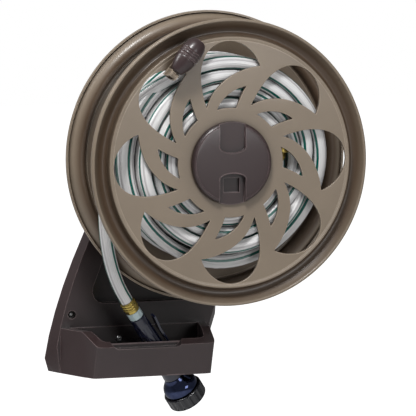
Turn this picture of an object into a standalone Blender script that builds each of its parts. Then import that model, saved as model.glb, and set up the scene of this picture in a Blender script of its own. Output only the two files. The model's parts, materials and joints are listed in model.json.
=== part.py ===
"""Wall-mounted garden hose reel: a moulded wall plate with a storage tray, a fixed hollow
spindle, a turning reel with a wound hose, a folding crank knob and a spray nozzle at rest in
the tray.

World axes: the wall is the plane Y = 0 and the reel stands out from it towards -Y, X is to the
right and Z is up. The origin is on the wall plane, level with the reel's axis.

Everything is modelled in one working frame whose x is to the right, y is up and z is the
distance out from the wall, and the empty "working_frame" turns that into world axes."""

from math import atan2, cos, pi, radians, sin

import bmesh
import bpy
from mathutils import Matrix, Vector

# ---------------------------------------------------------------- driving dimensions (metres)
GAP = 0.0003            # between pieces that touch
RUN = 0.0006            # radial clearance of pieces that turn
SKIN = 0.003            # wall of the moulded shells

FLANGE_R = 0.225        # outer radius of the front flange
BACK_FLANGE_R = 0.231
REEL_FRONT = 0.250      # front rim plane, from the wall
REEL_WIDTH = 0.130      # rim to rim
CHANNEL_WIDTH = 0.028   # dished channel between the face and the lip
CHANNEL_DEPTH = 0.014
HEM = 0.008             # turned-back edge of the lip
FACE_DROP = 0.0005      # face plane below the rim plane
SPOKES = 8              # crescent openings, and as many small ones
CRESCENT_INNER = 0.0945
CRESCENT_MARGIN = 0.007  # from the crescent's crown to the edge of the face
TRIANGLE_INNER = 0.086
TRIANGLE_HEIGHT = 0.0355
PATTERN_START = -20.5   # degrees, angle of the first crescent's point

DRUM_R = 0.080
HUB_HOLE_R = 0.050      # centre hole of the front flange and of the drum's ends
CAP_R = 0.065
CAP_HEIGHT = 0.0102
GRIP_WIDTH = 0.042      # thumb recesses in the cap

AXLE_R = 0.016
BORE_R = 0.0085         # water way through the axle
BUSH_WALL = 0.0036
WEB_T = 0.004

HOSE_D = 0.0214
HOSE_LAYERS = 4
LAYER_PITCH = 0.0214
COIL_MARGIN = 0.0065    # from the coil to each flange's inner face

PLATE_DEPTH = 0.030
PLATE_DRAFT = 0.92      # front outline as a share of the one on the wall
HEAD_R = 0.075          # round top of the plate, about the axle
PLATE_LEFT = -0.2326
PLATE_BOTTOM = -0.353
PLATE_RIGHT = 0.056
POCKET_DEPTH = 0.016

TRAY_FRONT = 0.135      # lip's front edge, from the wall
TRAY_LIP = -0.304       # height of the lip
TRAY_LEDGE = -0.280     # height of the side walls behind the step
TRAY_STEP = 0.080       # where the side walls start to fall, from the wall
TRAY_WALL = 0.004
TRAY_LIP_T = 0.016      # thickness of the front wall
TRAY_SLANT = 0.030      # how far the front's foot lies behind the lip

KNOB_LENGTH = 0.0606
KNOB_R = 0.0175
STEM_R = 0.0034
CRANK_AT = (-0.1004, 0.1408)     # hinge of the crank on the face
CRANK_HEADING = 49.5             # degrees, direction of the folded knob
CRANK_BASE_T = 0.0025
KNOB_START = 0.0066              # from the hinge to the knob

HOSE_END = (-0.1300, -0.2285, 0.118)   # where the hose enters its ferrule
NOZZLE_HEADING = (0.557, -0.788, -0.265)
NOZZLE_RING_R = 0.0325

LARGE_STEPS = 48        # facets round the flanges
ROUND_STEPS = 36        # round the drum, coil, cap and spindle
SMALL_STEPS = 20        # round the nozzle, bushes and fittings
FINE_STEPS = 10         # round the screws, pins and their holes

# ---------------------------------------------------------------- sizes that follow
REEL_BACK = REEL_FRONT - REEL_WIDTH
FACE = REEL_FRONT - FACE_DROP
REAR_FACE = REEL_BACK + FACE_DROP
FACE_R = FLANGE_R - CHANNEL_WIDTH
FACE_INSIDE = FACE - SKIN
REAR_INSIDE = REAR_FACE + SKIN
CRESCENT_OUTER = FACE_R - CRESCENT_MARGIN
COIL_INNER = DRUM_R + GAP
COIL_OUTER = COIL_INNER + HOSE_LAYERS * LAYER_PITCH
COIL_FRONT = FACE_INSIDE - COIL_MARGIN
COIL_BACK = REAR_INSIDE + COIL_MARGIN
DRUM_FRONT = FACE_INSIDE - GAP
DRUM_BACK = REAR_INSIDE + GAP
BUSH_IN = AXLE_R + RUN
BUSH_OUT = BUSH_IN + BUSH_WALL
SLEEVE_IN = BUSH_OUT + GAP
SLEEVE_OUT = SLEEVE_IN + 0.0055
WEB_R = DRUM_R - SKIN - GAP

# ---------------------------------------------------------------- collections and helpers
for old in list(bpy.data.objects):
    bpy.data.objects.remove(old, do_unlink=True)

PARTS = bpy.data.collections.new("garden_hose_reel")
TOOLS = bpy.data.collections.new("cutters")
bpy.context.scene.collection.children.link(PARTS)
bpy.context.scene.collection.children.link(TOOLS)


def empty(name, parent=None, matrix=None):
    """An empty that carries a group of parts."""
    item = bpy.data.objects.new(name, None)
    PARTS.objects.link(item)
    item.parent = parent
    if matrix is not None:
        item.matrix_basis = matrix
    return item


def aimed(place, z_axis, x_axis):
    """A matrix at place whose z runs along z_axis and whose x is nearest to x_axis."""
    z = Vector(z_axis).normalized()
    x = Vector(x_axis)
    x = (x - z * x.dot(z)).normalized()
    y = z.cross(x)
    turn = Matrix((x, y, z)).transposed().to_4x4()
    return Matrix.Translation(Vector(place)) @ turn


FRAME = empty("working_frame", matrix=Matrix.Rotation(pi / 2, 4, "X"))
REEL = empty("reel_axis", FRAME)

FINISHES = {
    "taupe": ((0.242, 0.195, 0.145), 0.38, 0.0),
    "plum_brown": ((0.070, 0.050, 0.048), 0.42, 0.0),
    "black_plastic": ((0.015, 0.015, 0.018), 0.35, 0.0),
    "steel": ((0.55, 0.56, 0.57), 0.30, 1.0),
    "brass": ((0.62, 0.48, 0.16), 0.28, 1.0),
    "hose": ((0.78, 0.80, 0.78), 0.25, 0.0),
    "pale_plastic": ((0.62, 0.72, 0.72), 0.20, 0.0),
    "chrome": ((0.72, 0.74, 0.78), 0.08, 1.0),
    "navy_gloss": ((0.012, 0.014, 0.035), 0.14, 0.0),
    "bearing_plastic": ((0.60, 0.60, 0.57), 0.45, 0.0),
    "seal_rubber": ((0.020, 0.020, 0.020), 0.75, 0.0),
}


def finish(obj, name, slot, parent, matrix=None):
    """Name an object, give it its own material and place it."""
    colour, roughness, metallic = FINISHES[slot]
    material = bpy.data.materials.new(name)
    material.use_nodes = True
    shader = material.node_tree.nodes["Principled BSDF"]
    shader.inputs["Base Color"].default_value = (*colour, 1)
    shader.inputs["Roughness"].default_value = roughness
    shader.inputs["Metallic"].default_value = metallic
    obj.name = name
    obj.data.materials.clear()
    obj.data.materials.append(material)
    obj.parent = parent
    if matrix is not None:
        obj.matrix_basis = matrix
    return obj


def as_cutter(obj):
    """Move an object to the cutters' collection and keep it out of the model."""
    for group in list(obj.users_collection):
        group.objects.unlink(obj)
    TOOLS.objects.link(obj)
    obj.hide_render = True
    obj.display_type = "WIRE"
    return obj


def cut(obj, cutter, operation="DIFFERENCE"):
    step = obj.modifiers.new(cutter.name, "BOOLEAN")
    step.operation = operation
    step.object = as_cutter(cutter)
    return obj


def smooth(mesh, angle=35):
    mesh.shade_smooth()
    mesh.set_sharp_from_angle(angle=radians(angle))


def new_object(name, mesh, parent=None, matrix=None):
    obj = bpy.data.objects.new(name, mesh)
    PARTS.objects.link(obj)
    obj.parent = parent
    if matrix is not None:
        obj.matrix_basis = matrix
    return obj


def raised(name, outlines, low, high, shape=None, parent=FRAME, matrix=None):
    """Flat closed outlines raised from z = low to z = high; shape(x, y, z) moves each point."""
    curve = bpy.data.curves.new(name, "CURVE")
    curve.dimensions = "2D"
    curve.fill_mode = "BOTH"
    curve.extrude = (high - low) / 2
    for outline in outlines:
        line = curve.splines.new("POLY")
        line.points.add(len(outline) - 1)
        for point, (x, y) in zip(line.points, outline):
            point.co = (x, y, 0, 1)
        line.use_cyclic_u = True
    flat = new_object(name + "_outline", curve)
    bpy.context.view_layer.update()
    seen = flat.evaluated_get(bpy.context.evaluated_depsgraph_get())
    mesh = bpy.data.meshes.new_from_object(seen)
    bpy.data.objects.remove(flat)
    body = bmesh.new()
    body.from_mesh(mesh)
    bmesh.ops.remove_doubles(body, verts=body.verts, dist=1e-6)
    for v in body.verts:
        v.co.z += (low + high) / 2
        if shape:
            v.co = shape(*v.co)
    bmesh.ops.recalc_face_normals(body, faces=body.faces)
    body.to_mesh(mesh)
    body.free()
    return new_object(name, mesh, parent, matrix)


def turned(name, profile, steps=SMALL_STEPS, parent=FRAME, matrix=None):
    """A ring or a solid turned about z from (radius, z) points, which run down its outer side.
    A profile that starts and ends on the axis stays open, any other is closed."""
    on_axis = profile[0][0] == 0 and profile[-1][0] == 0
    mesh = bpy.data.meshes.new(name)
    edges = [(i, i + 1) for i in range(len(profile) - 1)]
    if not on_axis:
        edges.append((len(profile) - 1, 0))
    mesh.from_pydata([(r, 0, z) for r, z in profile], edges, [])
    obj = new_object(name, mesh, parent, matrix)
    screw = obj.modifiers.new("Screw", "SCREW")
    screw.steps = screw.render_steps = steps
    screw.use_merge_vertices = True
    screw.merge_threshold = 1e-5
    screw.use_smooth_shade = True
    return obj


def rod(name, radius, low, high, parent=FRAME, matrix=None, sides=SMALL_STEPS):
    """A plain cylinder along z."""
    mesh = bpy.data.meshes.new(name)
    body = bmesh.new()
    bmesh.ops.create_cone(body, cap_ends=True, segments=sides, radius1=radius, radius2=radius,
                          depth=high - low)
    bmesh.ops.translate(body, verts=body.verts, vec=(0, 0, (low + high) / 2))
    body.to_mesh(mesh)
    body.free()
    smooth(mesh)
    return new_object(name, mesh, parent, matrix)


def block(name, low, high, parent=FRAME, matrix=None):
    """A box between two corners."""
    size = [b - a for a, b in zip(low, high)]
    middle = [(a + b) / 2 for a, b in zip(low, high)]
    mesh = bpy.data.meshes.new(name)
    body = bmesh.new()
    bmesh.ops.create_cube(body, size=1, matrix=Matrix.Translation(middle) @ Matrix.Diagonal((*size, 1)))
    body.to_mesh(mesh)
    body.free()
    return new_object(name, mesh, parent, matrix)


def tube(name, points, radius, sides=3, parent=FRAME):
    """A round tube or rod along a line of points."""
    curve = bpy.data.curves.new(name, "CURVE")
    curve.dimensions = "3D"
    curve.bevel_depth = radius
    curve.bevel_resolution = sides
    curve.use_fill_caps = True
    line = curve.splines.new("POLY")
    line.points.add(len(points) - 1)
    for point, place in zip(line.points, points):
        point.co = (*place, 1)
    return new_object(name, curve, parent)


def bezier(p0, p1, p2, p3, steps):
    """Points of a cubic curve, without its last one."""
    points = []
    for i in range(steps):
        t = i / steps
        w = ((1 - t) ** 3, 3 * t * (1 - t) ** 2, 3 * t * t * (1 - t), t ** 3)
        points.append(tuple(sum(a * b for a, b in zip(w, values)) for values in zip(p0, p1, p2, p3)))
    return points


def filleted(corners, steps=4):
    """A closed outline with round corners, from (x, y, radius) corners."""
    outline = []
    count = len(corners)
    for i, (x, y, radius) in enumerate(corners):
        here = Vector((x, y))
        to_last = (Vector(corners[i - 1][:2]) - here).normalized()
        to_next = (Vector(corners[(i + 1) % count][:2]) - here).normalized()
        if radius == 0:
            outline.append((x, y))
            continue
        half = to_last.angle(to_next) / 2
        reach = radius / abs(sin(half) / cos(half))
        a, b = here + to_last * reach, here + to_next * reach
        centre = here + (to_last + to_next).normalized() * (radius / sin(half))
        start, end = a - centre, b - centre
        turn = atan2(start.x * end.y - start.y * end.x, start.dot(end))
        for k in range(steps + 1):
            angle = atan2(start.y, start.x) + turn * k / steps
            outline.append((centre.x + radius * cos(angle), centre.y + radius * sin(angle)))
    return outline


def curved(points, steps):
    """A smooth line through the given points, steps to each stretch."""
    line = [Vector(p) for p in points]
    line = [2 * line[0] - line[1]] + line + [2 * line[-1] - line[-2]]
    path = []
    for a, b, c, d in zip(line, line[1:], line[2:], line[3:]):
        for i in range(steps):
            t = i / steps
            path.append(0.5 * (2 * b + (c - a) * t + (2 * a - 5 * b + 4 * c - d) * t * t
                               + (3 * b - a - 3 * c + d) * t ** 3))
    path.append(line[-2])
    return path


# ---------------------------------------------------------------- wall plate
PLATE_CENTRE = Vector((-0.080, -0.060))
SCREW_PLACES = ((-0.195, -0.2593), (0.030, -0.235), (-0.120, -0.060), (0.045, 0.010))
SCREW_R = 0.0024
SCREW_HEAD_R = 0.0046
SCREW_HEAD_T = 0.0032
RECESS_R = 0.0068
RECESS_DEPTH = 0.008
POST_R = 0.0100
AXLE_POST_R = 0.0220   # solid post behind the spindle, with the origin on its end face


def plate_outline():
    """Wall-side outline: a round head about the axle on a broad asymmetric foot."""
    start, end = radians(-8), radians(140)
    angles = [start + (end - start) * i / 12 for i in range(12)]
    head = [(HEAD_R * cos(angle), HEAD_R * sin(angle)) for angle in angles]
    tangent = (HEAD_R * cos(end), HEAD_R * sin(end))
    left = bezier(tangent, (tangent[0] - 0.077, tangent[1] - 0.092),
                  (PLATE_LEFT + 0.018, PLATE_BOTTOM + 0.138), (PLATE_LEFT, PLATE_BOTTOM + 0.021), 10)
    foot = [(PLATE_LEFT, PLATE_BOTTOM + 0.021), (PLATE_LEFT + 0.006, PLATE_BOTTOM),
            (PLATE_RIGHT - 0.011, PLATE_BOTTOM), (PLATE_RIGHT - 0.009, PLATE_BOTTOM + 0.052),
            (PLATE_RIGHT, PLATE_BOTTOM + 0.081)]
    return head + left + foot


def drafted(depth, share, inset=1.0):
    """Point mover that draws an outline in towards the plate's centre as z nears depth."""
    def shape(x, y, z):
        k = inset * (1 - (1 - share) * z / depth)
        k_up = k if y > PLATE_BOTTOM + 0.001 else inset
        return Vector((PLATE_CENTRE.x + (x - PLATE_CENTRE.x) * k,
                       PLATE_CENTRE.y + (y - PLATE_CENTRE.y) * k_up, z))
    return shape


def pocket_outline(grow):
    radius = 0.020 + grow
    low, high = -0.243 - grow, -0.120 + grow
    return filleted([(-0.170 - grow, low, radius), (0.012 + grow, low, radius), (0.012 + grow, high, radius),
                     (-0.122 - grow, high, radius)])


def wall_plate():
    plate = raised("wall_plate", [plate_outline()], 0, PLATE_DEPTH, drafted(PLATE_DEPTH, PLATE_DRAFT))
    inset = 1 - (SKIN + 0.0005) / (PLATE_CENTRE.x - PLATE_LEFT)
    roof = PLATE_DEPTH - SKIN
    cavity = raised("plate_cavity", [plate_outline()], -0.002, roof,
                    drafted(PLATE_DEPTH, PLATE_DRAFT, inset))
    cut(cavity, raised("pocket_floor", [pocket_outline(SKIN)], PLATE_DEPTH - POCKET_DEPTH - SKIN,
                       PLATE_DEPTH + 0.01))
    for number, (x, y) in enumerate(SCREW_PLACES, 1):
        place = Matrix.Translation((x, y, 0))
        cut(cavity, rod(f"post_{number}", POST_R, -0.01, PLATE_DEPTH + 0.01, matrix=place))
    cut(cavity, rod("axle_post", AXLE_POST_R, -0.01, PLATE_DEPTH + 0.01))
    cut(plate, cavity)
    cut(plate, raised("plate_pocket", [pocket_outline(0)], PLATE_DEPTH - POCKET_DEPTH, PLATE_DEPTH + 0.01))
    for number, (x, y) in enumerate(SCREW_PLACES, 1):
        place = Matrix.Translation((x, y, 0))
        floor = PLATE_DEPTH - RECESS_DEPTH
        hole = [(0, PLATE_DEPTH + 0.01), (RECESS_R, PLATE_DEPTH + 0.01), (RECESS_R, floor),
                (SCREW_R + GAP, floor), (SCREW_R + GAP, -0.01), (0, -0.01)]
        cut(plate, turned(f"screw_hole_{number}", hole, FINE_STEPS, matrix=place))
    finish(plate, "wall_plate", "plum_brown", FRAME)
    for number, (x, y) in enumerate(SCREW_PLACES, 1):
        floor = PLATE_DEPTH - RECESS_DEPTH + GAP
        top = floor + SCREW_HEAD_T
        profile = [(0, top), (SCREW_HEAD_R * 0.6, top), (SCREW_HEAD_R, top - 0.0013), (SCREW_HEAD_R, floor),
                   (SCREW_R, floor), (SCREW_R, 0.0005), (0, 0.0005)]
        screw = turned(f"wall_screw_{number}", profile, FINE_STEPS)
        finish(screw, f"wall_screw_{number}", "steel", FRAME, Matrix.Translation((x, y, 0)))


# ---------------------------------------------------------------- storage tray
TRAY_BACK = PLATE_DEPTH + GAP
TRAY_HOLE = (-0.090, 0.001)      # left and right end of the hole in the floor
TRAY_HOLE_HALF = 0.033
TRAY_HOLE_Z = 0.072
TRAY_SCREW_PLACES = ((-0.188, -0.318), (-0.118, -0.300), (0.010, -0.318))


def tray_plan(inset=0.0, front_inset=0.0, back=TRAY_BACK):
    """Plan of the tray as (x, distance from the wall)."""
    left_back, right_back = -0.2145 + inset, 0.0300 - inset
    left_mid, right_mid = -0.1935 + inset, 0.0200 - inset
    left, right = -0.1800 + inset, 0.0150 - inset
    front = TRAY_FRONT - front_inset
    return filleted([(left_back, back, 0), (left_mid, TRAY_STEP, 0), (left, front, 0.010),
                     (right, front, 0.010), (right_mid, TRAY_STEP, 0), (right_back, back, 0)])


def tray_shape(x, y, z):
    """Stands a plan upright, with its height along y, and draws the foot of the front in."""
    down = (TRAY_LIP - z) / (TRAY_LIP - PLATE_BOTTOM)
    back = TRAY_SLANT * max(0.0, down) * max(0.0, (y - TRAY_STEP) / (TRAY_FRONT - TRAY_STEP))
    return Vector((x, z, y - back))


def storage_tray():
    tray = raised("storage_tray", [tray_plan()], PLATE_BOTTOM, TRAY_LEDGE, tray_shape)
    floor = PLATE_BOTTOM + TRAY_WALL
    inside = raised("tray_inside", [tray_plan(TRAY_WALL + 0.010, TRAY_LIP_T, TRAY_BACK + TRAY_WALL)],
                    floor, TRAY_LEDGE + 0.02, tray_shape)
    cut(tray, inside)
    # the side walls fall from the ledge to the lip, whose inner edge stands a little higher
    left, right = -0.30, 0.10
    slope = [(TRAY_STEP, TRAY_LEDGE + 0.001), (TRAY_FRONT - TRAY_LIP_T, TRAY_LIP + 0.007),
             (TRAY_FRONT, TRAY_LIP), (TRAY_FRONT + 0.05, TRAY_LIP), (TRAY_FRONT + 0.05, TRAY_LEDGE + 0.03),
             (TRAY_STEP, TRAY_LEDGE + 0.03)]
    cut(tray, raised("tray_slope", [slope], left, right, lambda x, y, z: Vector((z, y, x))))
    dip = filleted([(-0.168, TRAY_LIP + 0.03, 0), (-0.150, TRAY_LIP - 0.0005, 0.012),
                    (-0.045, TRAY_LIP - 0.0005, 0.012), (-0.020, TRAY_LIP + 0.03, 0)])
    cut(tray, raised("lip_dip", [dip], TRAY_FRONT - TRAY_LIP_T - 0.008, TRAY_FRONT - 0.003))
    x0, x1 = TRAY_HOLE
    r = TRAY_HOLE_HALF
    hole = filleted([(x0, TRAY_HOLE_Z - r, r * 0.98), (x1, TRAY_HOLE_Z - r, r * 0.98),
                     (x1, TRAY_HOLE_Z + r, r * 0.98), (x0, TRAY_HOLE_Z + r, r * 0.98)], 6)
    cut(tray, raised("tray_hole", [hole], PLATE_BOTTOM - 0.01, floor + 0.01,
                     lambda x, y, z: Vector((x, z, y))))
    for number, (x, y) in enumerate(TRAY_SCREW_PLACES, 1):
        place = Matrix.Translation((x, y, 0))
        cut(tray, rod(f"tray_screw_hole_{number}", SCREW_R + GAP, TRAY_BACK - 0.01, TRAY_BACK + 0.02,
                      matrix=place, sides=FINE_STEPS))
    finish(tray, "storage_tray", "plum_brown", FRAME)
    for number, (x, y) in enumerate(TRAY_SCREW_PLACES, 1):
        seat = TRAY_BACK + TRAY_WALL + GAP
        profile = [(0, seat + SCREW_HEAD_T), (SCREW_HEAD_R * 0.6, seat + SCREW_HEAD_T),
                   (SCREW_HEAD_R, seat + 0.0018), (SCREW_HEAD_R, seat), (SCREW_R, seat),
                   (SCREW_R, PLATE_DEPTH - 0.010), (0, PLATE_DEPTH - 0.010)]
        screw = turned(f"tray_screw_{number}", profile, FINE_STEPS)
        finish(screw, f"tray_screw_{number}", "steel", FRAME, Matrix.Translation((x, y, 0)))
        cut(bpy.data.objects["wall_plate"],
            rod(f"plate_screw_hole_{number}", SCREW_R + GAP, PLATE_DEPTH - 0.020, PLATE_DEPTH + 0.01,
                matrix=Matrix.Translation((x, y, 0)), sides=FINE_STEPS))


# ---------------------------------------------------------------- spindle and water inlet
SPINDLE_BASE_R = 0.050
SPINDLE_BASE_T = 0.006
SHOULDER = REEL_BACK - 0.004
SHOULDER_R = AXLE_R + 0.008
TUBE_R = 0.0062
TUBE_Z = COIL_FRONT - 0.0095           # the water tube's outer run, beside the coil's first turn
AXLE_END = TUBE_Z - TUBE_R - 0.0013
INLET_Z = (PLATE_DEPTH + REEL_BACK) / 2 - 0.003
INLET_R = 0.0105
INLET_START = 0.012
INLET_END = 0.060
NUT_R = 0.0175
SPINDLE_SCREW_R = 0.040
SPINDLE_SEAT = 0.0036   # under a screw's head
PAN_HEAD_T = 0.0026


def spindle():
    base = PLATE_DEPTH + GAP
    profile = [(0, AXLE_END), (AXLE_R - 0.0015, AXLE_END), (AXLE_R, AXLE_END - 0.0015), (AXLE_R, SHOULDER),
               (SHOULDER_R, SHOULDER), (AXLE_R + 0.014, base + 0.022),
               (AXLE_R + 0.0175, base + SPINDLE_BASE_T + 0.002),
               (SPINDLE_BASE_R, base + SPINDLE_BASE_T), (SPINDLE_BASE_R, base), (0, base)]
    body = turned("spindle", profile, ROUND_STEPS)
    cut(body, rod("spindle_bore", BORE_R, INLET_Z - 0.006, AXLE_END + 0.01))
    sideways = Matrix.Translation((0, 0, INLET_Z)) @ Matrix.Rotation(pi / 2, 4, "Y")
    cut(body, rod("inlet_socket", INLET_R + GAP, INLET_START, 0.08, matrix=sideways))
    for number in range(4):
        angle = radians(45 + 90 * number)
        place = Matrix.Translation((SPINDLE_SCREW_R * cos(angle), SPINDLE_SCREW_R * sin(angle), 0))
        hole = [(0, 0.08), (SCREW_HEAD_R + 0.0006, 0.08), (SCREW_HEAD_R + 0.0006, base + SPINDLE_SEAT),
                (SCREW_R + GAP, base + SPINDLE_SEAT), (SCREW_R + GAP, 0.014), (0, 0.014)]
        cut(body, turned(f"base_screw_hole_{number + 1}", hole, FINE_STEPS, matrix=place))
        cut(bpy.data.objects["wall_plate"],
            rod(f"plate_base_hole_{number + 1}", SCREW_R + GAP, PLATE_DEPTH - 0.020, PLATE_DEPTH + 0.01,
                matrix=place, sides=FINE_STEPS))
        low, top = base + SPINDLE_SEAT + GAP, base + SPINDLE_SEAT + GAP + PAN_HEAD_T
        screw = turned(f"spindle_screw_{number + 1}",
                       [(0, top), (SCREW_HEAD_R, top), (SCREW_HEAD_R, low), (SCREW_R, low), (SCREW_R, 0.020),
                        (0, 0.020)], FINE_STEPS)
        finish(screw, f"spindle_screw_{number + 1}", "steel", FRAME, place)
    finish(body, "spindle", "plum_brown", FRAME)
    # the inlet points to the right, between the plate and the reel
    stub = turned("inlet_stub", [(INLET_R - 0.003, INLET_END), (INLET_R + 0.0025, INLET_END),
                                 (INLET_R + 0.0025, INLET_END - 0.003), (INLET_R, INLET_END - 0.003),
                                 (INLET_R, INLET_START + GAP), (INLET_R - 0.003, INLET_START + GAP)])
    finish(stub, "inlet_stub", "brass", FRAME, sideways)
    inner = INLET_R + RUN
    nut = turned("inlet_nut", [(NUT_R - 0.0015, INLET_END + 0.014), (NUT_R, INLET_END + 0.0125),
                               (NUT_R, INLET_END - 0.0105), (NUT_R - 0.003, INLET_END - 0.012),
                               (inner, INLET_END - 0.012), (inner, INLET_END - 0.0036),
                               (0.0137, INLET_END - 0.0036), (0.0137, INLET_END + 0.014)])
    finish(nut, "inlet_nut", "brass", FRAME, sideways)
    washer = turned("inlet_washer", [(INLET_R - 0.003, INLET_END + 0.0028), (0.0130, INLET_END + 0.0028),
                                     (0.0130, INLET_END + GAP), (INLET_R - 0.003, INLET_END + GAP)])
    finish(washer, "inlet_washer", "seal_rubber", FRAME, sideways)


# ---------------------------------------------------------------- reel: flanges and drum
def flange_section(hub, radius):
    """(radius, depth below the rim plane) along a flange's outer surface, hub to hem."""
    face = radius - CHANNEL_WIDTH
    return [(hub, FACE_DROP), (face - 0.0010, FACE_DROP), (face + 0.0015, CHANNEL_DEPTH * 0.85),
            (face + 0.0070, CHANNEL_DEPTH), (face + 0.0170, CHANNEL_DEPTH * 0.65),
            (radius - 0.0030, 0.0), (radius, 0.0020), (radius, HEM)]


def flange(name, section):
    """A turned open surface with its wall to the inside."""
    mesh = bpy.data.meshes.new(name)
    edges = [(i, i + 1) for i in range(len(section) - 1)]
    mesh.from_pydata([(r, 0, z) for r, z in section], edges, [])
    obj = new_object(name, mesh, REEL)
    screw = obj.modifiers.new("Screw", "SCREW")
    screw.steps = screw.render_steps = LARGE_STEPS
    screw.use_merge_vertices = True
    screw.merge_threshold = 1e-5
    shell = obj.modifiers.new("Solidify", "SOLIDIFY")
    shell.thickness = SKIN
    shell.offset = -1
    return obj


def polar(angle, radius):
    return (radius * cos(radians(angle)), radius * sin(radians(angle)))


def spoke_openings():
    """Outlines of the crescents and of the small openings between their points."""
    height = CRESCENT_OUTER - CRESCENT_INNER
    crescent = (bezier((0, 0), (3, 0.45), (8, 1.0), (24, 1.0), 6)
                + bezier((24, 1.0), (32, 0.99), (39, 0.79), (42.3, 0.66), 4)
                + bezier((42.3, 0.66), (29, 0.50), (12, 0.26), (0, 0), 4))
    triangle = (bezier((9.5, 0), (16, 0.36), (28, 0.84), (36.5, 1.0), 3)
                + bezier((36.5, 1.0), (34, 0.60), (32, 0.25), (30.6, 0), 2)
                + bezier((30.6, 0), (24, 0), (16, 0), (9.5, 0), 2))
    outlines = []
    for number in range(SPOKES):
        start = PATTERN_START - number * 360 / SPOKES
        outlines.append([polar(start - a, CRESCENT_INNER + t * height) for a, t in crescent])
        outlines.append([polar(start - a, TRIANGLE_INNER + t * TRIANGLE_HEIGHT) for a, t in triangle])
    return outlines


FLANGE_SCREW_R = 0.0575


def flanges():
    front = flange("front_flange", [(r, REEL_FRONT - d) for r, d in flange_section(HUB_HOLE_R, FLANGE_R)])
    cut(front, raised("spoke_openings", spoke_openings(), FACE - 0.02, FACE + 0.01, parent=REEL))
    rear_section = [(r, REEL_BACK + d) for r, d in flange_section(HUB_HOLE_R, BACK_FLANGE_R)]
    rear = flange("back_flange", rear_section[::-1])
    for number in range(4):
        place = Matrix.Translation((*polar(45 + 90 * number, FLANGE_SCREW_R), 0))
        cut(front, rod(f"flange_hole_{number + 1}", SCREW_HEAD_R + 0.0006, FACE_INSIDE - 0.01, FACE + 0.01,
                       REEL, place, FINE_STEPS))
        cut(rear, rod(f"rear_hole_{number + 1}", SCREW_HEAD_R + 0.0006, REAR_FACE - 0.01,
                      REAR_INSIDE + 0.01, REEL, place, FINE_STEPS))
    finish(front, "front_flange", "taupe", REEL)
    finish(rear, "back_flange", "taupe", REEL)


END_T = 0.004
TUBE_BEND = 0.010
COUPLING_R = 0.0110
COUPLING_END = 0.0355


def drum():
    profile = [(HUB_HOLE_R, DRUM_FRONT), (DRUM_R, DRUM_FRONT), (DRUM_R, DRUM_BACK), (HUB_HOLE_R, DRUM_BACK),
               (HUB_HOLE_R, DRUM_BACK + END_T), (DRUM_R - SKIN, DRUM_BACK + END_T),
               (DRUM_R - SKIN, DRUM_FRONT - END_T), (HUB_HOLE_R, DRUM_FRONT - END_T)]
    body = turned("drum", profile, ROUND_STEPS, REEL)
    along_x = Matrix.Translation((0, 0, TUBE_Z)) @ Matrix.Rotation(pi / 2, 4, "Y")
    cut(body, rod("drum_water_hole", TUBE_R + 0.0015, 0.06, 0.1, REEL, along_x))
    for number in range(4):
        place = Matrix.Translation((*polar(45 + 90 * number, FLANGE_SCREW_R), 0))
        cut(body, rod(f"drum_screw_hole_{number + 1}", SCREW_R + GAP, DRUM_FRONT - 0.02, DRUM_FRONT + 0.01,
                      REEL, place, FINE_STEPS))
        cut(body, rod(f"drum_rear_hole_{number + 1}", SCREW_R + GAP, DRUM_BACK - 0.01, DRUM_BACK + 0.02,
                      REEL, place, FINE_STEPS))
        for side, seat, out in (("front", DRUM_FRONT + GAP, 1), ("back", DRUM_BACK - GAP, -1)):
            profile = [(0, seat + PAN_HEAD_T), (SCREW_HEAD_R, seat + PAN_HEAD_T), (SCREW_HEAD_R, seat),
                       (SCREW_R, seat), (SCREW_R, seat - 0.012), (0, seat - 0.012)]
            if out < 0:
                profile = [(r, 2 * seat - z) for r, z in profile[::-1]]
            screw = turned(f"{side}_flange_screw_{number + 1}", profile, FINE_STEPS, REEL)
            finish(screw, f"{side}_flange_screw_{number + 1}", "steel", REEL, place)
    finish(body, "drum", "black_plastic", REEL)


WEB_FRONT = AXLE_END - 0.023
REAR_WEB = DRUM_BACK + END_T + GAP
FRONT_SLEEVE = (AXLE_END - 0.037, AXLE_END - 0.011)
REAR_SLEEVE = (REAR_WEB, REAR_WEB + 0.026)
BUSH_LIP = 0.0025
WASHER_T = 0.0015
WEB_STEPS = SMALL_STEPS + 8


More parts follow.
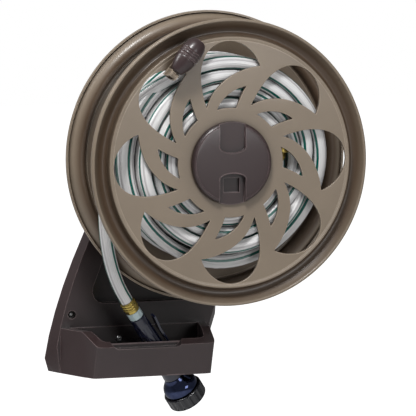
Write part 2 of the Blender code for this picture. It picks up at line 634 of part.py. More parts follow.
def bearings():
    """Two webs inside the drum, each with a bush that runs on the fixed axle."""
    low, high = FRONT_SLEEVE
    web = turned("front_web", [(SLEEVE_IN, high), (SLEEVE_OUT, high), (SLEEVE_OUT, WEB_FRONT),
                               (WEB_R, WEB_FRONT), (WEB_R, WEB_FRONT - WEB_T),
                               (SLEEVE_OUT, WEB_FRONT - WEB_T), (SLEEVE_OUT, low), (SLEEVE_IN, low)],
                 WEB_STEPS, REEL)
    finish(web, "front_web", "black_plastic", REEL)
    low, high = REAR_SLEEVE
    web = turned("back_web", [(SLEEVE_IN, high), (SLEEVE_OUT, high), (SLEEVE_OUT, low + WEB_T),
                              (WEB_R, low + WEB_T), (WEB_R, low), (SLEEVE_IN, low)], WEB_STEPS, REEL)
    for number in range(4):
        place = Matrix.Translation((*polar(45 + 90 * number, FLANGE_SCREW_R), 0))
        cut(web, rod(f"web_screw_hole_{number + 1}", SCREW_R + GAP, low - 0.01, low + 0.02, REEL, place,
                     FINE_STEPS))
    finish(web, "back_web", "black_plastic", REEL)
    low, high = FRONT_SLEEVE
    bush = turned("front_bush", [(BUSH_IN, high + BUSH_LIP), (SLEEVE_OUT, high + BUSH_LIP),
                                 (SLEEVE_OUT, high + GAP),
                                 (BUSH_OUT, high + GAP), (BUSH_OUT, low), (BUSH_IN, low)], SMALL_STEPS, REEL)
    finish(bush, "front_bush", "bearing_plastic", REEL)
    low, high = REAR_SLEEVE
    bush = turned("back_bush", [(BUSH_IN, high), (BUSH_OUT, high), (BUSH_OUT, low - GAP),
                                (SLEEVE_OUT, low - GAP), (SLEEVE_OUT, SHOULDER + RUN),
                                (BUSH_IN, SHOULDER + RUN)], SMALL_STEPS, REEL)
    finish(bush, "back_bush", "bearing_plastic", REEL)
    seat = FRONT_SLEEVE[1] + BUSH_LIP + RUN
    rim = AXLE_R + 0.0085
    washer = turned("axle_washer", [(AXLE_R + GAP, seat + WASHER_T), (rim, seat + WASHER_T), (rim, seat),
                                    (AXLE_R + GAP, seat)])
    finish(washer, "axle_washer", "steel", FRAME)
    low = seat + WASHER_T + GAP
    hexagon = [polar(60 * i, rim) for i in range(6)]
    nut = raised("axle_nut", [hexagon], low, AXLE_END - 0.0005)
    cut(nut, rod("axle_nut_bore", AXLE_R + GAP, low - 0.01, AXLE_END + 0.01))
    finish(nut, "axle_nut", "steel", FRAME)


def water_way():
    """Turning tube from the axle's bore out through the drum to the hose's inner end."""
    start = COIL_INNER + HOSE_D / 2
    corner = [(0, 0, AXLE_END - 0.019), (0, 0, TUBE_Z - TUBE_BEND)]
    for i in range(1, 5):
        angle = pi / 2 * i / 4
        corner.append((TUBE_BEND * (1 - cos(angle)), 0, TUBE_Z - TUBE_BEND * (1 - sin(angle))))
    for i in range(0, 5):
        angle = pi / 2 * i / 4
        corner.append((start - TUBE_BEND * (1 - sin(angle)), TUBE_BEND * (1 - cos(angle)), TUBE_Z))
    corner.append((start, TUBE_BEND + 0.002, TUBE_Z))
    pipe = tube("water_tube", corner, TUBE_R, 2, REEL)
    finish(pipe, "water_tube", "brass", REEL)
    seal_r = (TUBE_R + BORE_R) / 2
    thin = (BORE_R - TUBE_R) / 2 - GAP
    for number, z in enumerate((AXLE_END - 0.0145, AXLE_END - 0.0085), 1):
        angles = [pi / 2 - pi / 3 * i for i in range(6)]
        ring = [(seal_r + thin * cos(angle), z + thin * sin(angle)) for angle in angles]
        seal = turned(f"tube_seal_{number}", ring, 16, REEL)
        finish(seal, f"tube_seal_{number}", "seal_rubber", REEL)
    low, high = TUBE_BEND + 0.002 + GAP, COUPLING_END
    along_y = Matrix.Translation((start, 0, TUBE_Z)) @ Matrix.Rotation(-pi / 2, 4, "X")
    coupling = turned("inner_coupling", [(0, high), (COUPLING_R - 0.001, high), (COUPLING_R, high - 0.001),
                                         (COUPLING_R, low + 0.001), (COUPLING_R - 0.001, low), (0, low)],
                      SMALL_STEPS, REEL)
    finish(coupling, "inner_coupling", "brass", REEL, along_y)


def hose_coil():
    edge = 0.008
    profile = [(COIL_INNER, COIL_FRONT), (COIL_OUTER - edge, COIL_FRONT), (COIL_OUTER, COIL_FRONT - edge),
               (COIL_OUTER, COIL_BACK + edge), (COIL_OUTER - edge, COIL_BACK), (COIL_INNER, COIL_BACK)]
    coil = turned("hose_coil", profile, ROUND_STEPS, REEL)
    start = COIL_INNER + HOSE_D / 2
    cut(coil, block("coupling_notch", (DRUM_R - 0.005, -TUBE_R - 0.003, TUBE_Z - COUPLING_R - 0.001),
                    (start + COUPLING_R + 0.002, COUPLING_END + GAP, REEL_FRONT), REEL))
    finish(coil, "hose_coil", "hose", REEL)


# ---------------------------------------------------------------- hub cap
def grip_outline(near, far, bow):
    """A thumb recess that is open at the cap's edge, with a flat arch for its inner end."""
    half = GRIP_WIDTH / 2
    sign = 1 if far > near else -1
    arch = [(half * cos(pi * i / 8), near + sign * bow * (1 - sin(pi * i / 8))) for i in range(9)]
    return [(half, far)] + arch + [(-half, far)]


def hub_cap():
    base, top = FACE + GAP, FACE + GAP + CAP_HEIGHT
    spigot = HUB_HOLE_R - GAP
    profile = [(0, top + 0.0008), (CAP_R - 0.012, top + 0.0004), (CAP_R - 0.003, top - 0.0008),
               (CAP_R - 0.0006, top - 0.0030), (CAP_R, base), (spigot, base), (spigot, FACE_INSIDE - 0.002),
               (0, FACE_INSIDE - 0.002)]
    cap = turned("hub_cap", profile, ROUND_STEPS, REEL)
    cut(cap, raised("upper_grip", [grip_outline(0.016, 0.08, 0.010)], top - 0.0040, top + 0.01, parent=REEL))
    cut(cap, raised("lower_grip", [grip_outline(-0.0156, -0.08, 0.009)], base + 0.0025, top + 0.01,
                    parent=REEL))
    cut(cap, block("grip_well", (-0.014, -0.044, FACE_INSIDE + 0.0005), (0.014, -0.022, top), REEL))
    finish(cap, "hub_cap", "plum_brown", REEL)


# ---------------------------------------------------------------- crank
CRANK_U = Vector((cos(radians(CRANK_HEADING)), sin(radians(CRANK_HEADING)), 0))
CRANK_H = Vector((CRANK_U.y, -CRANK_U.x, 0))
CRANK_Z = FACE + CRANK_BASE_T + 0.0005 + KNOB_R
CRANK = empty("crank_hinge_axis", REEL, aimed((*CRANK_AT, CRANK_Z), CRANK_U, CRANK_H))
KNUCKLE_R = 0.0048
KNUCKLE_HALF = 0.0036
LUG_T = 0.0025
LUG_R = 0.0060
PIN_R = 0.0020
BASE_HALF = 0.0080      # half the base plate's width
BASE_END = 0.041
BASE_SCREWS = (0.016, 0.034)


def crank():
    # in the crank's frame z runs along the folded knob, x along the pin, and y into the face
    face_y = CRANK_Z - FACE
    base_y = face_y - GAP
    plate = block("crank_base", (-BASE_HALF, base_y - CRANK_BASE_T, -LUG_R),
                  (BASE_HALF, base_y, BASE_END), CRANK)
    along_pin = Matrix.Rotation(pi / 2, 4, "Y")
    for side in (-1, 1):
        inner, outer = side * (KNUCKLE_HALF + RUN), side * (KNUCKLE_HALF + RUN + LUG_T)
        low, high = min(inner, outer), max(inner, outer)
        cheek = rod(f"crank_lug_{side}", LUG_R, low, high, CRANK, along_pin, 16)
        foot = block(f"crank_lug_foot_{side}", (low, 0, -LUG_R), (high, base_y - 0.001, LUG_R), CRANK)
        cut(plate, cheek, "UNION")
        cut(plate, foot, "UNION")
    cut(plate, rod("crank_pin_hole", PIN_R + GAP, -0.03, 0.03, CRANK, along_pin, 16))
    from_face = Matrix.Rotation(pi / 2, 4, "X")
    for number, z in enumerate(BASE_SCREWS, 1):
        place = Matrix.Translation((0, 0, z)) @ from_face
        low, high = -(face_y + 0.008), -(base_y - CRANK_BASE_T)
        hole = [(0, high + 0.01), (0.0042, high + 0.01), (0.0042, high - 0.0012), (0.0017, high - 0.0012),
                (0.0017, low - 0.002), (0, low - 0.002)]
        cut(plate, turned(f"crank_screw_hole_{number}", hole, FINE_STEPS, CRANK, place))
        cut(bpy.data.objects["front_flange"],
            rod(f"crank_face_hole_{number}", 0.0017, low - 0.002, high, CRANK, place, FINE_STEPS))
        screw = turned(f"crank_screw_{number}",
                       [(0, high - 0.0001), (0.0038, high - 0.0001), (0.0038, high - 0.0009),
                        (0.0014, high - 0.0009), (0.0014, low), (0, low)], FINE_STEPS, CRANK)
        finish(screw, f"crank_screw_{number}", "steel", CRANK, place)
    finish(plate, "crank_base", "taupe", CRANK)
    half = KNUCKLE_HALF + RUN + LUG_T + 0.0005
    pin = turned("crank_pin", [(0, half + 0.0015), (PIN_R + 0.0015, half + 0.0015), (PIN_R + 0.0015, half),
                               (PIN_R, half), (PIN_R, -half), (0, -half)], FINE_STEPS, CRANK)
    finish(pin, "crank_pin", "steel", CRANK, along_pin)

    end = KNOB_START + KNOB_LENGTH - 0.010
    stem = rod("crank_stem", KNUCKLE_R, -KNUCKLE_HALF, KNUCKLE_HALF, CRANK, along_pin, 20)
    cut(stem, rod("stem_shaft", STEM_R, 0.002, end, CRANK), "UNION")
    cut(stem, rod("stem_pin_hole", PIN_R + GAP, -0.02, 0.02, CRANK, along_pin, 16))
    cut(stem, rod("stem_screw_hole", 0.0016, end - 0.012, end + 0.01, CRANK, sides=FINE_STEPS))
    finish(stem, "crank_stem", "taupe", CRANK)

    knob = turned("crank_knob", knob_profile(), SMALL_STEPS, CRANK)
    finish(knob, "crank_knob", "plum_brown", CRANK)
    top = KNOB_START + KNOB_LENGTH
    screw = turned("knob_screw", [(0, end + 0.0032), (0.0062, end + 0.0032), (0.0062, end + GAP),
                                  (0.0013, end + GAP), (0.0013, end - 0.010), (0, end - 0.010)],
                   FINE_STEPS, CRANK)
    finish(screw, "knob_screw", "steel", CRANK)
    plug = turned("knob_plug", [(0, top + 0.0006), (0.0045, top), (0.0085 - GAP, top - 0.0014),
                                (0.0085 - GAP, top - 0.0040), (0, top - 0.0040)],
                  SMALL_STEPS, CRANK)
    finish(plug, "knob_plug", "plum_brown", CRANK)


def knob_profile():
    """Egg-shaped grip; a stepped bore for the stem and its screw."""
    top, low = KNOB_START + KNOB_LENGTH, KNOB_START
    shares = [(1.0, 0.49), (0.97, 0.65), (0.86, 0.88), (0.72, 0.98), (0.60, 1.0), (0.42, 0.96), (0.22, 0.82),
              (0.06, 0.60), (0.0, 0.50)]
    outer = [(KNOB_R * share, low + KNOB_LENGTH * t) for t, share in shares]
    bore, seat = STEM_R + RUN, top - 0.010 + GAP - RUN
    return outer + [(bore, low), (bore, seat - 0.0005), (0.0068, seat - 0.0005), (0.0068, top - 0.0043),
                    (0.0085, top - 0.0043)]


# ---------------------------------------------------------------- hose end and nozzle
NOZZLE = empty("nozzle_axis", FRAME, aimed(HOSE_END, NOZZLE_HEADING, (0.853, 0.522, 0)))
FERRULE_END = 0.0200
COLLAR_END = 0.0340
GRIP_END = 0.1650
SHOULDER_END = GRIP_END + 0.0280
RING_END = SHOULDER_END + 0.0230
FACE_END = RING_END - 0.0040
VALVE_R = 0.0080
LEVER_PIVOT = (0.0205, GRIP_END - 0.014)   # beside the grip, near its front
LEVER_LENGTH = 0.100
LEVER_HALF = 0.0070
LEVER_PIN_R = 0.0018
BOSS_R = 0.0052
BOSS_HALF = 0.0032
COLLAR_BORE = 0.0088
SPRAY_HOLES = 6


def hose_run():
    """Free stretch of hose from the coil's left side down to the ferrule."""
    line = COIL_OUTER + HOSE_D / 2 + GAP + 0.0004
    heading = Vector(NOZZLE_HEADING).normalized()
    end = Vector(HOSE_END)
    route = [(*polar(181, line), 0.166), (*polar(189, line), 0.1655), (-0.1780, -0.0700, 0.1610),
             (-0.1748, -0.1130, 0.1545), (-0.1640, -0.1560, 0.1475), end - heading * 0.030,
             end - heading * 0.012, end - heading * GAP]
    hose = tube("hose_run", curved(route, 3), HOSE_D / 2, 2, FRAME)
    finish(hose, "hose_run", "hose", FRAME)


def spray_nozzle():
    ribs = [(0, FERRULE_END), (0.0118, FERRULE_END)]
    for z in (0.0150, 0.0100, 0.0050):
        ribs += [(0.0128, z + 0.0028), (0.0128, z + 0.0006), (0.0116, z - 0.0008)]
    ribs += [(0.0116, 0), (0, 0)]
    finish(turned("hose_ferrule", ribs), "hose_ferrule", "brass", NOZZLE)
    low = FERRULE_END + GAP
    collar = [(COLLAR_BORE, COLLAR_END), (0.0112, COLLAR_END), (0.0122, COLLAR_END - 0.002),
              (0.0122, low + 0.0015), (0.0114, low), (COLLAR_BORE, low)]
    finish(turned("nozzle_collar", collar), "nozzle_collar", "pale_plastic", NOZZLE)
    rim = COLLAR_BORE - GAP
    washer = [(0.0050, low + 0.0028), (rim, low + 0.0028), (rim, low), (0.0050, low)]
    finish(turned("collar_washer", washer), "collar_washer", "seal_rubber", NOZZLE)
    low = COLLAR_END + GAP
    grip = [(0, GRIP_END), (0.0165, GRIP_END), (0.0172, GRIP_END - 0.004), (0.0156, GRIP_END - 0.030),
            (0.0140, low + 0.034), (0.0132, low + 0.010), (0.0130, low + 0.001), (0.0124, low),
            (COLLAR_BORE - 0.0005, low), (COLLAR_BORE - 0.0005, FERRULE_END + 0.0036),
            (0, FERRULE_END + 0.0036)]
    body = turned("nozzle_grip", grip)
    # hinge lug for the lever, on the side away from the wall plate
    x, z = LEVER_PIVOT
    across = Matrix.Translation((x, 0, z)) @ Matrix.Rotation(pi / 2, 4, "X")
    cut(body, rod("lever_boss", BOSS_R, -BOSS_HALF, BOSS_HALF, NOZZLE, across), "UNION")
    foot = BOSS_R * 0.9
    cut(body, block("lever_boss_foot", (0.006, -BOSS_HALF, z - foot), (x, BOSS_HALF, z + foot), NOZZLE),
        "UNION")
    cut(body, rod("lever_boss_hole", LEVER_PIN_R + GAP, -0.01, 0.01, NOZZLE, across, FINE_STEPS))
    finish(body, "nozzle_grip", "navy_gloss", NOZZLE)
    finish(turned("lever_pin", [(0, 0.0075), (LEVER_PIN_R, 0.0075), (LEVER_PIN_R, -0.0075), (0, -0.0075)],
                  FINE_STEPS),
           "lever_pin", "steel", NOZZLE, across)
    lever_line = [(x + 0.0055, z + 0.004), (x + 0.0058, z - 0.012), (x + 0.0030, z - 0.034),
                  (x + 0.0020, z - LEVER_LENGTH * 0.75), (x + 0.0050, z - LEVER_LENGTH)]
    inner_line = [(px - 0.0032, pz) for px, pz in lever_line[::-1]]
    lever = raised("nozzle_lever", [lever_line + inner_line], -LEVER_HALF, LEVER_HALF,
                   lambda u, v, w: Vector((u, w, v)), NOZZLE)
    for side in (-1, 1):
        slot = BOSS_HALF + RUN
        low_y, high_y = (slot, LEVER_HALF) if side > 0 else (-LEVER_HALF, -slot)
        cut(lever, block(f"lever_cheek_{side}", (x - 0.0040, low_y, z - 0.0050),
                         (x + 0.0052, high_y, z + 0.0040), NOZZLE), "UNION")
    cut(lever, rod("lever_hole", LEVER_PIN_R + GAP, -0.02, 0.02, NOZZLE, across, FINE_STEPS))
    cut(lever, rod("lever_clearance", BOSS_R + 0.001, -slot, slot, NOZZLE, across))
    finish(lever, "nozzle_lever", "navy_gloss", NOZZLE)
    low = GRIP_END + GAP
    shoulder = [(0, SHOULDER_END), (0.0278, SHOULDER_END), (0.0286, SHOULDER_END - 0.006),
                (0.0268, SHOULDER_END - 0.013), (0.0215, SHOULDER_END - 0.020), (0.0165, low), (0, low)]
    neck = turned("nozzle_shoulder", shoulder)
    cut(neck, rod("shoulder_bore", VALVE_R + GAP, SHOULDER_END - 0.012, SHOULDER_END + 0.01, NOZZLE))
    finish(neck, "nozzle_shoulder", "chrome", NOZZLE)
    low = SHOULDER_END + RUN
    inner, edge, bore = NOZZLE_RING_R - 0.006, NOZZLE_RING_R - 0.002, VALVE_R + RUN
    ring = [(inner, RING_END), (edge, RING_END), (NOZZLE_RING_R, RING_END - 0.003),
            (NOZZLE_RING_R, low + 0.003), (edge, low), (bore, low), (bore, low + 0.003), (inner, low + 0.003)]
    finish(turned("nozzle_ring", ring, SMALL_STEPS + 8), "nozzle_ring", "black_plastic", NOZZLE)
    face_r = inner - 0.0005
    plate = turned("spray_plate", [(0, FACE_END), (face_r, FACE_END), (face_r, low + 0.0035),
                                   (0, low + 0.0035)])
    for number in range(SPRAY_HOLES):
        place = Matrix.Translation((*polar(360 / SPRAY_HOLES * number, NOZZLE_RING_R / 2), 0))
        cut(plate, rod(f"spray_hole_{number + 1}", 0.0022, FACE_END - 0.004, FACE_END + 0.01, NOZZLE, place,
                       8))
    finish(plate, "spray_plate", "black_plastic", NOZZLE)
    stem = [(0, low + 0.003), (VALVE_R, low + 0.003), (VALVE_R, SHOULDER_END - 0.0115),
            (0, SHOULDER_END - 0.0115)]
    finish(turned("valve_stem", stem), "valve_stem", "bearing_plastic", NOZZLE)


# ---------------------------------------------------------------- build
wall_plate()
storage_tray()
spindle()
flanges()
drum()
bearings()
water_way()
hose_coil()
hub_cap()
crank()
hose_run()
spray_nozzle()
bpy.context.view_layer.update()
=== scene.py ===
"""Looks of a wall-mounted garden hose reel: a pierced front flange over a wound, striped hose,
a wall plate with a storage tray, and a spray nozzle that hangs through the tray's floor.

World axes: the wall is Y = 0, the reel turns about Y and stands out towards -Y, and Z is up."""

import json
from math import atan2, cos, exp, hypot, pi, radians, sin, tau

import bmesh
import bpy
from mathutils import Matrix, Vector


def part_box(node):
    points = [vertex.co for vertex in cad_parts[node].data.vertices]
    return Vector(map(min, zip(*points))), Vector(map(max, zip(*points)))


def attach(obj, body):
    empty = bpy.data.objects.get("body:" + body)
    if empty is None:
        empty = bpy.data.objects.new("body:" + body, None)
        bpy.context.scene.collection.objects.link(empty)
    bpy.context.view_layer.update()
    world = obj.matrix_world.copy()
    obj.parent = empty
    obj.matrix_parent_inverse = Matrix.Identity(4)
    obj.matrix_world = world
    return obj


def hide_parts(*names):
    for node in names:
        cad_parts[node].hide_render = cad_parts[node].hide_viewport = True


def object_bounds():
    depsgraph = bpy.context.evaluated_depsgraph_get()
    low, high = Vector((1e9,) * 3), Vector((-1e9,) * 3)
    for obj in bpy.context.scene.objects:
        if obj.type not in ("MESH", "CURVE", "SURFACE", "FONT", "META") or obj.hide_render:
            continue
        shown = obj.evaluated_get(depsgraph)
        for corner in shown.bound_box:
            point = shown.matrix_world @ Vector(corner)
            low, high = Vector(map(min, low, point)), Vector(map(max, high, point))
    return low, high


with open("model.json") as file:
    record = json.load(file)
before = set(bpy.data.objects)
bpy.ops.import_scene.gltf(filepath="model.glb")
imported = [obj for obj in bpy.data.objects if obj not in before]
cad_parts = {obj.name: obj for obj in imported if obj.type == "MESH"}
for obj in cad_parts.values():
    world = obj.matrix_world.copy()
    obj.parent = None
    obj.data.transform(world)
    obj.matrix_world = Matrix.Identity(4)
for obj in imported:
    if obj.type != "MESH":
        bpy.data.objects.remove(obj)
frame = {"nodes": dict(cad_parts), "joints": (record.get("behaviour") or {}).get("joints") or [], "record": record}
cad_box = [list(corner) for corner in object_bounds()]

# ---------------------------------------------------------------- sizes read from the frame
RIM_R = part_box("front_flange")[1].x
BACK_RIM_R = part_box("back_flange")[1].x
RIM_FRONT = -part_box("front_flange")[0].y
RIM_BACK = -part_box("back_flange")[1].y
DRUM_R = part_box("drum")[1].x
COIL_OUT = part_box("hose_coil")[1].x
COIL_FRONT = -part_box("hose_coil")[0].y
COIL_BACK = -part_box("hose_coil")[1].y
CAP_TOP = -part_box("hub_cap")[0].y
CAP_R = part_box("hub_cap")[1].x
JOINTS = {joint["name"]: joint for joint in frame["joints"]}
PIVOT = Vector(JOINTS["knob_spin"]["pos_m"])
KNOB_AXIS = Vector(JOINTS["knob_spin"]["axis"])
PIN_AXIS = Vector(JOINTS["crank_fold"]["axis"])
NOZZLE_AXIS = Vector(JOINTS["nozzle_dial_turn"]["axis"])
LEVER_AXIS = Vector(JOINTS["nozzle_lever_press"]["axis"])
COLLAR_STATION = 0.027        # of the collar's joint, from the hose's end
WELD = 2e-6                   # doubled points nearer than this are merged

# ---------------------------------------------------------------- sizes of the fine forms
FACE_DROP = 0.0005            # face below the rim's plane
FACE_T = 0.0055
CHANNEL_WIDTH = 0.028         # dished channel between the face and the lip
FACE_R = RIM_R - CHANNEL_WIDTH
WALL = 0.0028
RIM_LAP = 0.0035              # how far the rim reaches in over the face's edge
FACE_OVER_DRUM = 0.0032       # thickness of the face in front of the drum
REAR_DISC_T = 0.003
SCREW_RING_R = 0.0575
HUB_HOLE_R = 0.050
SPOKES = 8
PATTERN_START = -20.5         # degrees, first crescent's point
CRESCENT_IN = 0.0945
CRESCENT_OUT = FACE_R - 0.007
WEDGE_IN = 0.086
WEDGE_HEIGHT = 0.0355
HOSE_D = 0.0214
HOSE_GAP = 0.0003             # between the hose and what it lies on or meets
LAYERS = 4
LANES = 5                     # turns side by side in a layer
WINDING_START = 21.0          # degrees, at the inner coupling
WINDING_END = 181.0           # degrees, where the hose leaves the reel
RUN_R = COIL_OUT + HOSE_D / 2 + 0.0007    # place of the hose's line where it leaves
RUN_OUT = 0.166
COUPLING_OUT = 0.2305
COUPLING_SIDE = 0.0360        # sideways distance of the coupling's line from the axle's
GRIP_HALF = 0.021             # half the width of the cap's two thumb recesses
UPPER_GRIP = (0.016, 0.010)   # inner end of a recess and the depth of its round
LOWER_GRIP = (-0.0156, 0.009)
CAP_ROUND = 0.0008            # top of the cap below its CAD solid
KNOB_LENGTH = 0.0606
KNOB_R = 0.0175
KNOB_START = 0.0066           # from the crank's pin
KNOB_BORE = 0.0040
KNOB_GROOVES = (0.44, 0.51, 0.58, 0.65)   # shares of its length
SCREW_HEAD = 0.0032
SCREW_SHANK_R = 0.0024
GRIP_END = 0.1650             # stations along the nozzle, from the hose's end
DOME_END = 0.1930
DIAL_END = 0.2160
DIAL_R = 0.0325
LEVER_PIVOT = (0.0205, 0.1510)
BOSS_R = 0.0052
BOSS_HALF = 0.0032


# ---------------------------------------------------------------- modelling helpers
def deselect():
    if bpy.context.mode != "OBJECT":
        bpy.ops.object.mode_set(mode="OBJECT")
    bpy.ops.object.select_all(action="DESELECT")


def activate(piece):
    deselect()
    piece.select_set(True)
    bpy.context.view_layer.objects.active = piece


def edit(piece, action="SELECT"):
    activate(piece)
    bpy.ops.object.mode_set(mode="EDIT")
    bpy.ops.mesh.select_mode(type="VERT")
    bpy.ops.mesh.select_all(action=action)


def pick(piece, test):
    """Selects the vertices that pass a test on their place, ready for an edit."""
    edit(piece, "DESELECT")
    bpy.ops.object.mode_set(mode="OBJECT")
    for vertex in piece.data.vertices:
        vertex.select = test(vertex.co)
    bpy.ops.object.mode_set(mode="EDIT")


def seal():
    """Merges doubled points, turns the normals outwards and leaves edit mode."""
    bpy.ops.mesh.select_all(action="SELECT")
    bpy.ops.mesh.remove_doubles(threshold=WELD)
    bpy.ops.mesh.normals_make_consistent(inside=False)
    bpy.ops.object.mode_set(mode="OBJECT")


def settle(piece, matrix=None):
    """Applies an object's place, and then a matrix, to its mesh."""
    activate(piece)
    bpy.ops.object.transform_apply(location=True, rotation=True, scale=True)
    if matrix is not None:
        piece.matrix_world = matrix
        bpy.ops.object.transform_apply(location=True, rotation=True, scale=True)
    return piece


def modify(piece, kind, **values):
    """Adds a modifier and applies it."""
    activate(piece)
    step = piece.modifiers.new(kind.title(), kind)
    for name, value in values.items():
        setattr(step, name, value)
    bpy.ops.object.modifier_apply(modifier=step.name)
    return piece


def bevelled(piece, width, segments=2, angle=32):
    return modify(piece, "BEVEL", width=width, segments=segments, limit_method="ANGLE",
                  angle_limit=radians(angle), miter_outer="MITER_ARC")


def smooth(piece, angle=34):
    activate(piece)
    bpy.ops.object.shade_smooth_by_angle(angle=radians(angle))
    return piece


def cut(piece, tool, operation="DIFFERENCE"):
    modify(piece, "BOOLEAN", object=tool, operation=operation, solver="EXACT")
    bpy.data.objects.remove(tool)
    return piece


def joined(name, *pieces):
    deselect()
    for piece in pieces:
        piece.select_set(True)
    bpy.context.view_layer.objects.active = pieces[0]
    bpy.ops.object.join()
    pieces[0].name = name
    return pieces[0]


def turned(name, profile, steps=96, matrix=None):
    """Draws a profile of (radius, height) points one by one and spins it about Z."""
    deselect()
    bpy.ops.mesh.primitive_plane_add(size=0.01)
    piece = bpy.context.object
    piece.name = name
    edit(piece)
    bpy.ops.mesh.merge(type="CENTER")
    radius, height = profile[0]
    bpy.ops.transform.translate(value=(radius, 0, height))
    for (r0, z0), (r1, z1) in zip(profile, profile[1:]):
        bpy.ops.mesh.extrude_region_move(TRANSFORM_OT_translate={"value": (r1 - r0, 0, z1 - z0)})
    bpy.ops.mesh.select_all(action="SELECT")
    bpy.ops.mesh.spin(steps=steps, angle=tau, center=(0, 0, 0), axis=(0, 0, 1))
    seal()
    return smooth(settle(piece, matrix))


def ring(name, profile, steps=96, matrix=None):
    """A turned piece with a closed section."""
    return turned(name, profile + profile[:1], steps, matrix)


def rod(name, radius, low, high, sides=32, matrix=None):
    deselect()
    bpy.ops.mesh.primitive_cylinder_add(vertices=sides, radius=radius, depth=high - low,
                                        location=(0, 0, (low + high) / 2))
    piece = bpy.context.object
    piece.name = name
    return settle(piece, matrix)


def block(name, low, high, matrix=None):
    deselect()
    middle = [(a + b) / 2 for a, b in zip(low, high)]
    size = [b - a for a, b in zip(low, high)]
    bpy.ops.mesh.primitive_cube_add(size=1, location=middle, scale=size)
    piece = bpy.context.object
    piece.name = name
    return settle(piece, matrix)


def add_line(curve, points, closed):
    line = curve.splines.new("POLY")
    line.points.add(len(points) - 1)
    for point, place in zip(line.points, points):
        point.co = (*place, 1)
    line.use_cyclic_u = closed


def solid_from(name, curve, height, matrix):
    """Makes a mesh from a curve, raises it to a height and puts it in its place."""
    piece = bpy.data.objects.new(name, curve)
    bpy.context.collection.objects.link(piece)
    piece.location = (0, 0, height)
    activate(piece)
    bpy.ops.object.convert(target="MESH")
    piece = bpy.context.object
    edit(piece)
    seal()
    return smooth(settle(piece, matrix))


def cast(name, outlines, low, high, rounding, matrix):
    """Flat outlines raised from low to high, with rounded edges."""
    curve = bpy.data.curves.new(name, "CURVE")
    curve.dimensions = "2D"
    curve.fill_mode = "BOTH"
    curve.extrude = (high - low) / 2 - rounding
    curve.bevel_depth = rounding
    curve.offset = -rounding
    curve.bevel_resolution = 2
    for outline in outlines:
        add_line(curve, [(x, y, 0) for x, y in outline], True)
    return solid_from(name, curve, (low + high) / 2, matrix)


def bead(name, points, radius, matrix):
    """A thin raised line along some points."""
    curve = bpy.data.curves.new(name, "CURVE")
    curve.dimensions = "3D"
    curve.bevel_depth = radius
    curve.bevel_resolution = 2
    curve.use_fill_caps = True
    add_line(curve, points, False)
    return solid_from(name, curve, 0.0, matrix)


def cad_copy(node, name, width, segments=2, angle=32):
    """A CAD node's shape with its doubles merged and its edges rounded."""
    piece = frame["nodes"][node].copy()
    piece.data = piece.data.copy()
    piece.name = name
    for key in [key for key in piece.keys() if key.startswith("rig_")]:
        del piece[key]
    bpy.context.collection.objects.link(piece)
    piece.parent = None
    piece.matrix_world = Matrix.Identity(4)
    edit(piece)
    bpy.ops.mesh.remove_doubles(threshold=WELD)
    bpy.ops.mesh.customdata_custom_splitnormals_clear()
    bpy.ops.mesh.dissolve_limited(angle_limit=radians(0.5))
    bpy.ops.object.mode_set(mode="OBJECT")
    bevelled(piece, width, segments, angle)
    return smooth(piece)


def bezier(p0, p1, p2, p3, steps):
    points = []
    for i in range(steps):
        t = i / steps
        shares = ((1 - t) ** 3, 3 * t * (1 - t) ** 2, 3 * t * t * (1 - t), t ** 3)
        points.append(tuple(sum(a * b for a, b in zip(shares, values))
                            for values in zip(p0, p1, p2, p3)))
    return points


def curved(points, steps):
    """A smooth line through points of any dimension."""
    line = [Vector(p) for p in points]
    line = [2 * line[0] - line[1]] + line + [2 * line[-1] - line[-2]]
    path = []
    for a, b, c, d in zip(line, line[1:], line[2:], line[3:]):
        for i in range(steps):
            t = i / steps
            path.append(0.5 * (2 * b + (c - a) * t + (2 * a - 5 * b + 4 * c - d) * t * t
                               + (3 * b - a - 3 * c + d) * t ** 3))
    path.append(line[-2])
    return path


def polar(angle, radius):
    return (radius * cos(radians(angle)), radius * sin(radians(angle)))


def aimed(place, z_axis, x_axis):
    """A matrix at place whose z runs along z_axis and whose x is nearest to x_axis."""
    z = Vector(z_axis).normalized()
    x = Vector(x_axis)
    x = (x - z * x.dot(z)).normalized()
    turn = Matrix((x, z.cross(x), z)).transposed().to_4x4()
    return Matrix.Translation(Vector(place)) @ turn


# the reel's own frame: x to the right, y up, z out from the wall
OUT = Matrix.Rotation(pi / 2, 4, "X")
HOSE_TIP = Vector(JOINTS["nozzle_collar_spin"]["pos_m"]) - NOZZLE_AXIS * COLLAR_STATION
NOZZLE = aimed(HOSE_TIP, NOZZLE_AXIS, NOZZLE_AXIS.cross(LEVER_AXIS) * -1)
CRANK = aimed(PIVOT, KNOB_AXIS, PIN_AXIS)

# ---------------------------------------------------------------- camera, floor and light
LENS = 333.6
CAMERA_PLACE = (-1.885, -5.916, 0.589)
CAMERA_HEADING = Vector((0.3081, 0.9449, -0.1098))
FLOOR_DROP = 0.55             # floor below the object's lowest point
AMBIENT = 0.17                # light from all round, as a share of the white background


